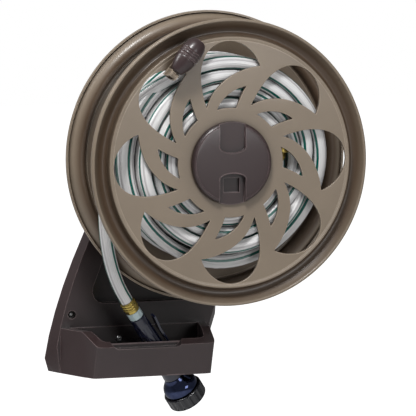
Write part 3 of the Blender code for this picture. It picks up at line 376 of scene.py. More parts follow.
def studio():
    camera = bpy.data.objects.new("camera", bpy.data.cameras.new("camera"))
    camera.data.lens = LENS
    camera.location = CAMERA_PLACE
    camera.rotation_euler = CAMERA_HEADING.to_track_quat("-Z", "Y").to_euler()
    bpy.context.scene.collection.objects.link(camera)
    bpy.context.scene.camera = camera

    world = bpy.data.worlds.new("studio")
    world.use_nodes = True
    tree = world.node_tree
    seen = tree.nodes.new("ShaderNodeLightPath").outputs["Is Camera Ray"]
    light = tree.nodes.new("ShaderNodeMapRange")
    light.inputs["To Min"].default_value = AMBIENT
    light.inputs["To Max"].default_value = 1.0
    tree.links.new(seen, light.inputs["Value"])
    tree.links.new(light.outputs[0], tree.nodes["Background"].inputs["Strength"])
    tree.nodes["Background"].inputs["Color"].default_value = (1.0, 1.0, 1.0, 1)
    bpy.context.scene.world = world
    bpy.context.scene.view_settings.view_transform = "Standard"

    middle = Vector((0, -0.18, -0.05))
    lamps = (("key", (-0.9, -1.6, 2.2), 0.7, 58), ("front", (0.6, -2.8, 0.4), 1.0, 13),
             ("back_left", (-1.5, 0.1, 1.2), 0.7, 14))
    for name, place, size, power in lamps:
        lamp = bpy.data.lights.new(name, "AREA")
        lamp.size = size
        lamp.energy = power
        holder = bpy.data.objects.new(name, lamp)
        holder.location = place
        holder.rotation_euler = (middle - Vector(place)).to_track_quat("-Z", "Y").to_euler()
        bpy.context.scene.collection.objects.link(holder)


def studio_floor():
    """A plain pale floor below the object."""
    deselect()
    bpy.ops.mesh.primitive_plane_add(size=24, location=(0, 0, cad_box[0][2] - FLOOR_DROP))
    floor = bpy.context.object
    floor.name = "studio_floor"
    settle(floor)
    material = bpy.data.materials.new("studio_white")
    material.use_nodes = True
    tree = material.node_tree
    shader = tree.nodes["Principled BSDF"]
    shader.inputs["Base Color"].default_value = (0.80, 0.80, 0.80, 1)
    shader.inputs["Roughness"].default_value = 0.9
    shader.inputs["Emission Color"].default_value = (1, 1, 1, 1)
    seen = tree.nodes.new("ShaderNodeLightPath").outputs["Is Camera Ray"]
    tree.links.new(seen, shader.inputs["Emission Strength"])
    floor.data.materials.append(material)


# ---------------------------------------------------------------- hose
def wobble(turn, scale, seed):
    """A small smooth unevenness along the winding."""
    return scale * (0.5 * sin(turn * 2.3 + seed) + 0.3 * sin(turn * 5.1 + 2 * seed)
                    + 0.2 * sin(turn * 9.7 + 3 * seed))


def eased(share):
    """A share kept between 0 and 1, with a soft start and end."""
    share = min(1.0, max(0.0, share))
    return share * share * (3 - 2 * share)


def winding_path():
    """The hose's line from its inner coupling, layer by layer, to where it leaves the reel.
    Each turn keeps to its own lane and crosses to the next one in a short stretch."""
    inner_r = DRUM_R + HOSE_D / 2 + HOSE_GAP
    front, back = COIL_FRONT - HOSE_D / 2, COIL_BACK + HOSE_D / 2
    pitch = (front - back) / (LANES - 1)
    lift = (COIL_OUT - DRUM_R) / LAYERS
    lanes = []
    for layer in range(LAYERS):
        order = range(LANES) if layer % 2 == 0 else range(LANES - 1, -1, -1)
        lanes += [(inner_r + layer * lift, front - lane * pitch) for lane in order]
    total = 360 * (len(lanes) - 1) + WINDING_END - WINDING_START     # degrees
    step, lead_in, crossing = 5.0, 34.0, 0.20
    sag, sag_before_end, sag_spread, rise_before_end = 0.0045, 271.0, 38.0, 75.0
    unevenness = (0.0012, 0.0011)
    count = int(total / step)
    path = []
    for i in range(count + 1):
        swept = total * i / count
        turn = swept / 360
        lane = int(turn)
        cross = eased((turn - lane - (1 - crossing)) / crossing)
        r, z = lanes[min(lane, len(lanes) - 1)]
        r1, z1 = lanes[min(lane + 1, len(lanes) - 1)]
        r, z = r + (r1 - r) * cross, z + (z1 - z) * cross
        swell = min(1.0, turn, total / 360 - turn)
        r += abs(wobble(turn, unevenness[0], 1.0)) * swell
        z += wobble(turn, unevenness[1], 2.0) * swell
        # the first stretch comes off the coupling, which stands a little further out
        lead = max(0.0, 1 - swept / lead_in)
        r += (hypot(inner_r, COUPLING_SIDE) - inner_r) * lead ** 2
        z += (COUPLING_OUT - front) * lead
        # the last turn sags a little at the bottom, and its end rises to where the hose leaves
        left = total - swept
        r += sag * exp(-((left - sag_before_end) / sag_spread) ** 2)
        rise = eased(1 - left / rise_before_end)
        r += (RUN_R - r) * rise
        z += (RUN_OUT - z) * rise
        x, y = polar(WINDING_START + swept, r)
        path.append(OUT @ Vector((x, y, z)))
    return path


def run_path():
    """The free stretch from the reel down to the ferrule, in one smooth sweep."""
    leaving = ((*polar(WINDING_END, RUN_R), RUN_OUT), (*polar(189, RUN_R), 0.1655))
    places = [OUT @ Vector(place) for place in leaving]
    start, end = OUT @ Vector((-0.1780, -0.0700, 0.1610)), HOSE_TIP - NOZZLE_AXIS * HOSE_GAP
    down = (OUT @ Vector((-0.002, -1.0, -0.09))).normalized()
    sweep = bezier(start, start + down * 0.060, end - NOZZLE_AXIS * 0.055, end, 6)
    return curved(places + [Vector(place) for place in sweep] + [end], 8)


def hose_tube(name, path, sides, twist):
    """A round tube along a path. Its UV map has metres along it in u and turns round it in v."""
    mesh = bpy.data.meshes.new(name)
    body = bmesh.new()
    layer = body.loops.layers.uv.new("along_and_round")
    rings, along = [], [0.0]
    side = (path[1] - path[0]).orthogonal().normalized()
    for i, place in enumerate(path):
        ahead = (path[min(i + 1, len(path) - 1)] - path[max(i - 1, 0)]).normalized()
        side = (side - ahead * side.dot(ahead)).normalized()
        other = ahead.cross(side)
        if i:
            along.append(along[-1] + (place - path[i - 1]).length)
        spread = [side * cos(tau * k / sides) + other * sin(tau * k / sides) for k in range(sides)]
        rings.append([body.verts.new(place + away * HOSE_D / 2) for away in spread])
    for i in range(len(rings) - 1):
        for k in range(sides):
            n = (k + 1) % sides
            face = body.faces.new((rings[i][k], rings[i][n], rings[i + 1][n], rings[i + 1][k]))
            corners = ((i, k), (i, k + 1), (i + 1, k + 1), (i + 1, k))
            for loop, (row, column) in zip(face.loops, corners):
                loop[layer].uv = (along[row], column / sides + twist * along[row])
            face.smooth = True
    body.faces.new(rings[0][::-1])
    body.faces.new(rings[-1])
    body.to_mesh(mesh)
    body.free()
    piece = bpy.data.objects.new(name, mesh)
    bpy.context.collection.objects.link(piece)
    return piece


def hose(material):
    path = winding_path()
    winding = hose_tube("wound_hose", path, 20, 0.21)
    winding.data.materials.append(material)
    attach(winding, "reel")
    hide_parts("hose_coil")
    run_line = run_path()
    run = hose_tube("free_hose", run_line, 28, 0.35)
    run.data.materials.append(material)
    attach(run, "bracket")
    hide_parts("hose_run")
    run_length = sum((b - a).length for a, b in zip(run_line, run_line[1:]))
    return run, run_line, run_length


# ---------------------------------------------------------------- shared effects
def node_group(name, inputs, outputs):
    """A shader node group with named float or colour sockets."""
    group = bpy.data.node_groups.new(name, "ShaderNodeTree")
    for socket, value in inputs:
        kind = "NodeSocketColor" if isinstance(value, tuple) else "NodeSocketFloat"
        made = group.interface.new_socket(name=socket, in_out="INPUT", socket_type=kind)
        made.default_value = value
    for socket, kind in outputs:
        group.interface.new_socket(name=socket, in_out="OUTPUT", socket_type=f"NodeSocket{kind}")
    return group, group.nodes.new("NodeGroupInput"), group.nodes.new("NodeGroupOutput")


def math_node(tree, operation, a, b=0.0, clamp=False):
    step = tree.nodes.new("ShaderNodeMath")
    step.operation = operation
    step.use_clamp = clamp
    for socket, value in zip(step.inputs, (a, b)):
        if isinstance(value, (int, float)):
            socket.default_value = value
        else:
            tree.links.new(value, socket)
    return step.outputs[0]


def noise(tree, vector, scale, detail=3.0, roughness=0.55):
    step = tree.nodes.new("ShaderNodeTexNoise")
    step.inputs["Detail"].default_value = detail
    step.inputs["Roughness"].default_value = roughness
    tree.links.new(vector, step.inputs["Vector"])
    if isinstance(scale, (int, float)):
        step.inputs["Scale"].default_value = scale
    else:
        tree.links.new(scale, step.inputs["Scale"])
    return step.outputs["Fac"]


def mapped(tree, value, low, high, to_low=0.0, to_high=1.0):
    step = tree.nodes.new("ShaderNodeMapRange")
    for socket, number in zip(list(step.inputs)[1:5], (low, high, to_low, to_high)):
        socket.default_value = number
    tree.links.new(value, step.inputs[0])
    return step.outputs[0]


def mixed(tree, share, first, second, blend="MIX"):
    step = tree.nodes.new("ShaderNodeMix")
    step.data_type = "RGBA"
    step.blend_type = blend
    for socket, value in ((step.inputs[0], share), (step.inputs[6], first), (step.inputs[7], second)):
        if isinstance(value, (int, float)):
            socket.default_value = value
        elif isinstance(value, tuple):
            socket.default_value = (*value, 1)
        else:
            tree.links.new(value, socket)
    return step.outputs[2]


def moulded_grain():
    """Fine grain and slow flow marks of a moulded surface."""
    group, given, result = node_group("moulded_grain", [("Grain Scale", 900.0), ("Flow Scale", 9.0)],
                                      [("Grain", "Float"), ("Flow", "Float")])
    place = group.nodes.new("ShaderNodeTexCoord").outputs["Object"]
    group.links.new(noise(group, place, given.outputs["Grain Scale"], 2.0), result.inputs["Grain"])
    flow = noise(group, place, given.outputs["Flow Scale"], 4.0, 0.6)
    group.links.new(mapped(group, flow, 0.36, 0.66), result.inputs["Flow"])
    return group


def edge_and_crease_masks():
    """Masks for pale edges, which stand for rubbed wear and partly for a painted highlight, and for dark creases,
    an occlusion mask that the plastics use as painted shade.
    """
    group, given, result = node_group("edge_and_crease_masks", [("Edge Width", 0.0012), ("Crease Depth", 0.02)],
                                      [("Edge", "Float"), ("Crease", "Float")])
    soft = group.nodes.new("ShaderNodeBevel")
    soft.samples = 6
    group.links.new(given.outputs["Edge Width"], soft.inputs["Radius"])
    true = group.nodes.new("ShaderNodeNewGeometry")
    dot = group.nodes.new("ShaderNodeVectorMath")
    dot.operation = "DOT_PRODUCT"
    group.links.new(soft.outputs[0], dot.inputs[0])
    group.links.new(true.outputs["Normal"], dot.inputs[1])
    edge = mapped(group, dot.outputs["Value"], 0.985, 0.86)
    place = group.nodes.new("ShaderNodeTexCoord").outputs["Object"]
    patches = mapped(group, noise(group, place, 34.0, 4.0, 0.65), 0.34, 0.62, 0.35, 1.0)
    group.links.new(math_node(group, "MULTIPLY", edge, patches), result.inputs["Edge"])
    # occlusion: where creases and hollows get painted shade in the plastics
    shade = group.nodes.new("ShaderNodeAmbientOcclusion")
    shade.samples = 6
    group.links.new(given.outputs["Crease Depth"], shade.inputs["Distance"])
    group.links.new(mapped(group, shade.outputs["AO"], 0.92, 0.30), result.inputs["Crease"])
    return group


def settled_dust():
    """Thin dust on what faces up."""
    group, given, result = node_group("settled_dust", [("Amount", 0.3)], [("Dust", "Float")])
    normal = group.nodes.new("ShaderNodeSeparateXYZ")
    group.links.new(group.nodes.new("ShaderNodeNewGeometry").outputs["Normal"], normal.inputs[0])
    up = mapped(group, normal.outputs["Z"], 0.25, 0.95)
    place = group.nodes.new("ShaderNodeTexCoord").outputs["Object"]
    patches = mapped(group, noise(group, place, 60.0, 5.0, 0.7), 0.35, 0.7)
    lying = math_node(group, "MULTIPLY", up, patches)
    group.links.new(math_node(group, "MULTIPLY", lying, given.outputs["Amount"]), result.inputs["Dust"])
    return group


GRAIN = moulded_grain()
EDGE_AND_CREASE = edge_and_crease_masks()
DUST = settled_dust()


def placed(tree, group, **values):
    step = tree.nodes.new("ShaderNodeGroup")
    step.node_tree = group
    for name, value in values.items():
        step.inputs[name.replace("_", " ").title()].default_value = value
    return step


def new_material(name, roughness, metallic=0.0):
    material = bpy.data.materials.new(name)
    material.use_nodes = True
    shader = material.node_tree.nodes["Principled BSDF"]
    shader.inputs["Roughness"].default_value = roughness
    shader.inputs["Metallic"].default_value = metallic
    return material, material.node_tree, shader


def bumped(tree, shader, height, strength, distance):
    step = tree.nodes.new("ShaderNodeBump")
    step.inputs["Strength"].default_value = strength
    step.inputs["Distance"].default_value = distance
    tree.links.new(height, step.inputs["Height"])
    tree.links.new(step.outputs[0], shader.inputs["Normal"])


# ---------------------------------------------------------------- materials
def channel_shade(tree, base, dark):
    """Painted shade in the channel of a flange's rim, by the distance from the reel's axle."""
    split = tree.nodes.new("ShaderNodeSeparateXYZ")
    tree.links.new(tree.nodes.new("ShaderNodeTexCoord").outputs["Object"], split.inputs[0])
    square = math_node(tree, "ADD", math_node(tree, "POWER", split.outputs["X"], 2.0),
                       math_node(tree, "POWER", split.outputs["Z"], 2.0))
    out = math_node(tree, "SQRT", square)
    inner = mapped(tree, out, FACE_R - 0.0005, FACE_R + 0.0035)
    outer = mapped(tree, out, RIM_R - 0.0035, RIM_R - 0.0130)
    between = math_node(tree, "MULTIPLY", inner, outer)
    return mixed(tree, math_node(tree, "MULTIPLY", between, 0.80), base, dark)


def moulded_plastic(name, colour, pale, dark, roughness, grain, dust=0.25, edge=0.0012,
                    coat=0.0, crease_shade_reach=0.02, channel=None):
    """Satin moulded plastic: grain, slow flow marks, pale rubbed edges that are partly a painted highlight,
    painted shade in creases, a little dust and, for the flanges, painted shade in the channel of the rim."""
    material, tree, shader = new_material(name, roughness)
    surface = placed(tree, GRAIN, grain_scale=900.0, flow_scale=9.0)
    edges_and_creases = placed(tree, EDGE_AND_CREASE, edge_width=edge, crease_depth=crease_shade_reach)
    lying = placed(tree, DUST, amount=dust)
    shade = tuple(channel * 0.88 for channel in colour)
    base = mixed(tree, surface.outputs["Flow"], shade, colour)
    if channel:
        # painted shade in the channel of the flanges' rims
        base = channel_shade(tree, base, channel)
    # painted shade: creases and hollows darkened towards the dark colour by occlusion
    base = mixed(tree, math_node(tree, "MULTIPLY", edges_and_creases.outputs["Crease"], 0.92), base, dark)
    # pale edges: rubbed wear, and partly a painted highlight
    base = mixed(tree, math_node(tree, "MULTIPLY", edges_and_creases.outputs["Edge"], 0.80), base, pale)
    base = mixed(tree, lying.outputs["Dust"], base, (0.36, 0.33, 0.29))
    tree.links.new(base, shader.inputs["Base Color"])
    rough = mapped(tree, surface.outputs["Grain"], 0.3, 0.7, roughness - 0.06, roughness + 0.08)
    dusty = math_node(tree, "MULTIPLY", lying.outputs["Dust"], 0.4)
    rough = math_node(tree, "ADD", rough, dusty, True)
    tree.links.new(rough, shader.inputs["Roughness"])
    shader.inputs["Coat Weight"].default_value = coat
    shader.inputs["Coat Roughness"].default_value = 0.12
    bumped(tree, shader, surface.outputs["Grain"], grain, 0.0004)
    return material


def plated_metal(name, colour, roughness, scratch, dark):
    """Metal with fine turning marks and tarnish in its creases."""
    material, tree, shader = new_material(name, roughness, 1.0)
    place = tree.nodes.new("ShaderNodeTexCoord").outputs["Object"]
    cloud = mapped(tree, noise(tree, place, 120.0, 4.0, 0.6), 0.35, 0.65)
    edges_and_creases = placed(tree, EDGE_AND_CREASE, edge_width=0.0008, crease_depth=0.006)
    shade = tuple(channel * 0.72 for channel in colour)
    base = mixed(tree, cloud, shade, colour)
    base = mixed(tree, math_node(tree, "MULTIPLY", edges_and_creases.outputs["Crease"], 0.7), base, dark)
    tree.links.new(base, shader.inputs["Base Color"])
    rough = mapped(tree, cloud, 0.0, 1.0, roughness + 0.10, roughness)
    tree.links.new(rough, shader.inputs["Roughness"])
    bumped(tree, shader, noise(tree, place, 1600.0, 2.0), scratch, 0.0003)
    return material


def hose_vinyl():
    """White vinyl with fine ribs, two dark green stripes and thin grey lines along its length."""
    material, tree, shader = new_material("striped_vinyl", 0.26)
    read = tree.nodes.new("ShaderNodeUVMap")
    read.uv_map = "along_and_round"
    split = tree.nodes.new("ShaderNodeSeparateXYZ")
    tree.links.new(read.outputs[0], split.inputs[0])
    along, around = split.outputs["X"], split.outputs["Y"]

    def stripe(number, offset, half_width, soft):
        """1 on lines that lie evenly round the hose."""
        turned_by = math_node(tree, "ADD", math_node(tree, "MULTIPLY", around, number), offset)
        centred = math_node(tree, "SUBTRACT", math_node(tree, "FRACT", turned_by), 0.5)
        inside = math_node(tree, "ABSOLUTE", centred)
        return mapped(tree, inside, half_width * number + soft, half_width * number - soft)

    ribs = math_node(tree, "SINE", math_node(tree, "MULTIPLY", around, tau * 22))
    stretched = tree.nodes.new("ShaderNodeCombineXYZ")
    tree.links.new(math_node(tree, "MULTIPLY", along, 9.0), stretched.inputs[0])
    swing = math_node(tree, "SINE", math_node(tree, "MULTIPLY", around, tau))
    tree.links.new(math_node(tree, "MULTIPLY", swing, 0.5), stretched.inputs[1])
    cloud = noise(tree, stretched.outputs[0], 1.6, 3.0)
    base = mixed(tree, mapped(tree, cloud, 0.3, 0.7), (0.72, 0.72, 0.72), (0.90, 0.89, 0.88))
    # painted shade in the hollows between the fine ribs
    base = mixed(tree, mapped(tree, ribs, -1.0, -0.2, 0.16, 0.0), base, (0.38, 0.37, 0.40))
    grey_lines = math_node(tree, "MULTIPLY", stripe(3, 0.31, 0.020, 0.010), 0.55)
    base = mixed(tree, grey_lines, base, (0.34, 0.31, 0.33))
    base = mixed(tree, stripe(3, 0.0, 0.031, 0.012), base, (0.001, 0.105, 0.082))
    # painted shade: the hose darkens to near black where the turns lie close to each other
    shade = tree.nodes.new("ShaderNodeAmbientOcclusion")
    shade.samples = 6
    shade.inputs["Distance"].default_value = 0.006
    between = mapped(tree, shade.outputs["AO"], 0.65, 0.15, 0.0, 0.8)
    base = mixed(tree, between, base, (0.030, 0.030, 0.036))
    tree.links.new(base, shader.inputs["Base Color"])
    tree.links.new(mapped(tree, cloud, 0.3, 0.7, 0.34, 0.20), shader.inputs["Roughness"])
    shader.inputs["Coat Weight"].default_value = 0.35
    shader.inputs["Coat Roughness"].default_value = 0.08
    shader.inputs["Subsurface Weight"].default_value = 0.06
    shader.inputs["Subsurface Radius"].default_value = (0.004, 0.004, 0.004)
    bumped(tree, shader, ribs, 0.25, 0.0003)
    return material


MATERIALS = {
    # taupe: the last colour is the painted shade in the flanges' rim channel, and the long crease reach spreads
    # painted shade into hollows
    "taupe": moulded_plastic("taupe_plastic", (0.262, 0.207, 0.152), (0.72, 0.60, 0.48),
                             (0.038, 0.021, 0.011), 0.36, 0.10, 0.10, 0.0022, 0.15, 0.060,
                             (0.085, 0.048, 0.026)),
    # plum: the pale edge colour is partly a painted highlight on the tray's lip, and the long crease reach darkens
    # the tray's inside as painted shade
    "plum_brown": moulded_plastic("plum_plastic", (0.044, 0.026, 0.027), (0.30, 0.22, 0.22),
                                  (0.003, 0.0022, 0.0022), 0.36, 0.16, 0.04, 0.0022, 0.25, 0.140),
    "black_plastic": moulded_plastic("black_plastic", (0.006, 0.007, 0.012), (0.06, 0.07, 0.10),
                                     (0.002, 0.002, 0.002), 0.22, 0.06, 0.02, 0.0008, 0.6),
    "bearing_plastic": moulded_plastic("natural_nylon", (0.60, 0.60, 0.56), (0.78, 0.78, 0.74),
                                       (0.20, 0.19, 0.17), 0.45, 0.08, 0.0, 0.0008),
    "seal_rubber": moulded_plastic("seal_rubber", (0.020, 0.020, 0.020), (0.07, 0.07, 0.07),
                                   (0.005, 0.005, 0.005), 0.75, 0.3, 0.0, 0.0006),
    "navy_gloss": moulded_plastic("navy_lacquer", (0.008, 0.010, 0.030), (0.09, 0.12, 0.22),
                                  (0.002, 0.002, 0.004), 0.16, 0.03, 0.0, 0.0010, 0.8),
    "pale_plastic": moulded_plastic("pale_plastic", (0.55, 0.68, 0.70), (0.85, 0.92, 0.92),
                                    (0.20, 0.26, 0.27), 0.18, 0.03, 0.0, 0.0008, 0.6),
    "steel": plated_metal("zinc_plate", (0.60, 0.61, 0.62), 0.30, 0.05, (0.10, 0.09, 0.08)),
    "brass": plated_metal("brass", (0.66, 0.50, 0.14), 0.24, 0.05, (0.10, 0.06, 0.02)),
    "chrome": plated_metal("dark_chrome_plate", (0.060, 0.075, 0.150), 0.04, 0.01,
                           (0.004, 0.004, 0.012)),
    "hose": hose_vinyl(),
}


def dress(piece, slot, body, *replaced):
    """Gives a piece its finish, the body it moves with, and the CAD nodes it stands for."""
    modify(piece, "WEIGHTED_NORMAL", keep_sharp=True)
    piece.data.materials.clear()
    piece.data.materials.append(MATERIALS[slot])
    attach(piece, body)
    if replaced:
        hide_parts(*replaced)
    return piece


# ---------------------------------------------------------------- reel
def spoke_outlines():
    """The crescents and the small wedges between their points."""
    height = CRESCENT_OUT - CRESCENT_IN
    crescent = (bezier((0, 0), (3, 0.45), (8, 1.0), (24, 1.0), 20)
                + bezier((24, 1.0), (32, 0.99), (39, 0.79), (42.3, 0.66), 10)
                + bezier((42.3, 0.66), (29, 0.50), (12, 0.26), (0, 0), 12))
    wedge = (bezier((9.5, 0), (16, 0.36), (28, 0.84), (36.5, 1.0), 9)
             + bezier((36.5, 1.0), (34, 0.60), (32, 0.25), (30.6, 0), 6)
             + bezier((30.6, 0), (24, 0), (16, 0), (9.5, 0), 6))
    outlines = []
    for number in range(SPOKES):
        start = PATTERN_START - number * 360 / SPOKES
        outlines.append([polar(start - a, CRESCENT_IN + t * height) for a, t in crescent])
        outlines.append([polar(start - a, WEDGE_IN + t * WEDGE_HEIGHT) for a, t in wedge])
    return outlines


def circle(radius, steps, centre=(0, 0)):
    return [(centre[0] + radius * cos(tau * i / steps), centre[1] + radius * sin(tau * i / steps))
            for i in range(steps)]


def rim_section(radius):
    """(radius, depth below the rim's plane) round a rim's wall: a low bead round the face, the dished
    channel, the raised lip and its turned-back hem, and the inner side of the same wall."""
    face = radius - CHANNEL_WIDTH
    outer = [(face - 0.0060, 0.0006), (face - 0.0026, 0.0001), (face - 0.0006, 0.0006),
             (face + 0.0006, 0.0040), (face + 0.0018, 0.0098), (face + 0.0048, 0.0134),
             (face + 0.0090, 0.0137), (face + 0.0150, 0.0108), (face + 0.0205, 0.0050),
             (radius - 0.0045, 0.0007), (radius - 0.0026, 0.0), (radius - 0.0008, 0.0007),
             (radius, 0.0026), (radius, 0.0080)]
    inner = [(radius - WALL, 0.0080), (radius - WALL, 0.0042), (face + 0.0222, 0.0068),
             (face + 0.0162, 0.0132), (face + 0.0092, 0.0165), (face + 0.0030, 0.0160),
             (face - 0.0016, 0.0112), (face - 0.0034, 0.0048), (face - 0.0060, 0.0036)]
    return [tuple(point) for line in (outer, inner) for point in curved(line, 4)]


def disc_outlines(radius, hole_r):
    """A flange's disc, its hub hole and its four screw holes."""
    screw_holes = [circle(hole_r, 16, polar(45 + 90 * number, SCREW_RING_R)) for number in range(4)]
    return [circle(radius - CHANNEL_WIDTH - RIM_LAP, 128), circle(HUB_HOLE_R, 48)] + screw_holes


def flanges():
    low, high = RIM_FRONT - FACE_DROP - FACE_T, RIM_FRONT - FACE_DROP
    disc, *holes = disc_outlines(RIM_R, 0.0054)
    face = cast("pierced_face", [disc] + spoke_outlines() + holes, low, high, 0.0009, OUT)
    cut(face, rod("drum_well", DRUM_R + 0.0008, low - 0.01, high - FACE_OVER_DRUM, 96, OUT))
    rim = ring("front_rim", [(r, RIM_FRONT - d) for r, d in rim_section(RIM_R)], 160, OUT)
    front = joined("front_flange_face", face, rim)
    dress(smooth(front), "taupe", "reel", "front_flange")

    low = RIM_BACK + FACE_DROP
    disc = cast("rear_disc", disc_outlines(BACK_RIM_R, 0.0052), low, low + REAR_DISC_T, 0.0006, OUT)
    rim = ring("rear_rim", [(r, RIM_BACK + d) for r, d in rim_section(BACK_RIM_R)], 160, OUT)
    rear = joined("back_flange_dish", disc, rim)
    dress(smooth(rear), "taupe", "reel", "back_flange")


def grip_line(near, far, bow, half, steps=24):
    """The line round a thumb recess, from one open end to the other."""
    sign = 1 if far > near else -1
    arch = [(half * cos(pi * i / steps), near + sign * bow * (1 - sin(pi * i / steps)))
            for i in range(steps + 1)]
    return [(half, far)] + arch + [(-half, far)]


def hub_cap():
    base, top = RIM_FRONT - FACE_DROP + 0.0003, CAP_TOP - CAP_ROUND
    profile = [(0, top + CAP_ROUND), (0.030, top + 0.0006), (CAP_R - 0.010, top + 0.0002),
               (CAP_R - 0.005, top - 0.0004), (CAP_R - 0.0024, top - 0.0016),
               (CAP_R - 0.0008, top - 0.0034), (CAP_R, top - 0.0060), (CAP_R, base),
               (HUB_HOLE_R - 0.0003, base), (HUB_HOLE_R - 0.0003, base - 0.0045),
               (0, base - 0.0045)]
    cap = turned("hub_cap_cover", profile, 128, OUT)
    above, rounding = top + 0.01, 0.0004
    for name, (near, bow), far, floor in (("upper_tool", UPPER_GRIP, 0.08, top - 0.0046),
                                          ("lower_tool", LOWER_GRIP, -0.08, base + 0.0028)):
        cut(cap, cast(name, [grip_line(near, far, bow, GRIP_HALF)], floor, above, rounding, OUT))
    cut(cap, block("well_tool", (-0.013, -0.046, base - 0.0028), (0.013, -0.0235, top), OUT))
    groove = [(CAP_R - 0.0052, top + 0.002), (CAP_R - 0.0040, top + 0.002),
              (CAP_R - 0.0040, top - 0.0016), (CAP_R - 0.0052, top - 0.0010)]
    cut(cap, ring("groove_tool", groove, 128, OUT))
    bevelled(cap, 0.0006, 2, 40)
    smooth(cap)
    beads = []
    for (near, bow), far in ((UPPER_GRIP, 0.061), (LOWER_GRIP, -0.061)):
        outline = grip_line(near, far, bow, GRIP_HALF + 0.0003)
        line = [(x, y, top + 0.0005 - 0.9 * max(0.0, hypot(x, y) - 0.055)) for x, y in outline]
        beads.append(bead("grip_bead", line, 0.0008, OUT))
    cap = joined("hub_cap_cover", cap, *beads)
    dress(cap, "plum_brown", "reel", "hub_cap")


def knob():
    """Egg-shaped grip with four grooves round its middle."""
    shares = [(0.0, 0.46), (0.03, 0.57), (0.09, 0.68), (0.22, 0.84), (0.40, 0.965), (0.58, 1.0),
              (0.72, 0.975), (0.86, 0.86), (0.94, 0.70), (0.985, 0.55), (1.0, 0.47)]
    groove_depth, groove_width = 0.0011, 0.0105
    top = KNOB_START + KNOB_LENGTH
    profile = []
    for t, share in curved(shares, 12):
        depth = sum(exp(-((t - middle) / groove_width) ** 2) for middle in KNOB_GROOVES)
        profile.append((KNOB_R * share - groove_depth * min(depth, 1.0), KNOB_START + KNOB_LENGTH * t))
    profile += [(0.0085, top - 0.0002), (0.0085, top - 0.0043), (0.0068, top - 0.0043),
                (0.0068, top - 0.0108), (KNOB_BORE, top - 0.0108), (KNOB_BORE, KNOB_START)]
    grip = ring("knob_grip", profile, 72, CRANK)
    dress(smooth(grip, 50), "plum_brown", "knob", "crank_knob")
    profile = [(0, top + 0.0006), (0.0030, top + 0.0005), (0.0062, top - 0.0002),
               (0.0080, top - 0.0012), (0.0082, top - 0.0040), (0, top - 0.0040)]
    dress(turned("knob_end_plug", profile, 48, CRANK), "plum_brown", "knob", "knob_plug")


# ---------------------------------------------------------------- screws
def pan_screw(name, node, centre, heading, radius, length):
    """A pan-head screw with a cross recess. centre is the top of its head, heading points out."""
    head, shank = SCREW_HEAD, SCREW_SHANK_R
    profile = [(0, 0), (radius * 0.45, -0.0001), (radius * 0.8, -head * 0.25),
               (radius * 0.97, -head * 0.6), (radius, -head), (shank, -head), (shank, -length),
               (0, -length)]
    place = aimed(centre, heading, Vector(heading).orthogonal())
    screw = turned(name, profile, 28, place)
    half, width = radius * 0.62, radius * 0.13
    for turn in (0, pi / 2):
        slot = block("cross_tool", (-half, -width, -head * 0.62), (half, width, 0.01),
                     place @ Matrix.Rotation(turn + 0.4, 4, "Z"))
        cut(screw, slot)
    dress(smooth(screw), "steel", "bracket", node)


def screws():
    for group, count in (("wall_screw", 4), ("tray_screw", 3)):
        for number in range(1, count + 1):
            node = f"{group}_{number}"
            low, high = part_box(node)
            centre = Vector(((low.x + high.x) / 2, low.y, (low.z + high.z) / 2))
            pan_screw(f"{node}_fine", node, centre, (0, -1, 0), (high.x - low.x) / 2,
                      high.y - low.y)


# ---------------------------------------------------------------- bracket
def bracket():
    plate = cad_copy("wall_plate", "wall_plate_shell", 0.0016, 2)
    dress(plate, "plum_brown", "bracket", "wall_plate")
    tray = cad_copy("storage_tray", "storage_tray_shell", 0.0020, 3)
    dress(tray, "plum_brown", "bracket", "storage_tray")


# ---------------------------------------------------------------- hose end and nozzle
def station_profile(points, steps):
    """A profile through (station, radius) points, as (radius, height) points."""
    return [(r, z) for z, r in curved(points, steps)]


def fluted(piece, count, low, high, share, matrix):
    """Draws narrow lengthwise strips of a turned piece in towards its axis, as shallow flutes."""
    inverse = matrix.inverted()

    def in_flute(co):
        here = inverse @ co
        angle = (atan2(here.y, here.x) / tau * count) % 1.0
        return low < here.z < high and abs(angle - 0.5) < 0.27
    pick(piece, in_flute)
    bpy.ops.object.mode_set(mode="OBJECT")
    for vertex in piece.data.vertices:
        if vertex.select:
            x, y, z = inverse @ vertex.co
            vertex.co = matrix @ Vector((x * share, y * share, z))
    return smooth(piece, 40)


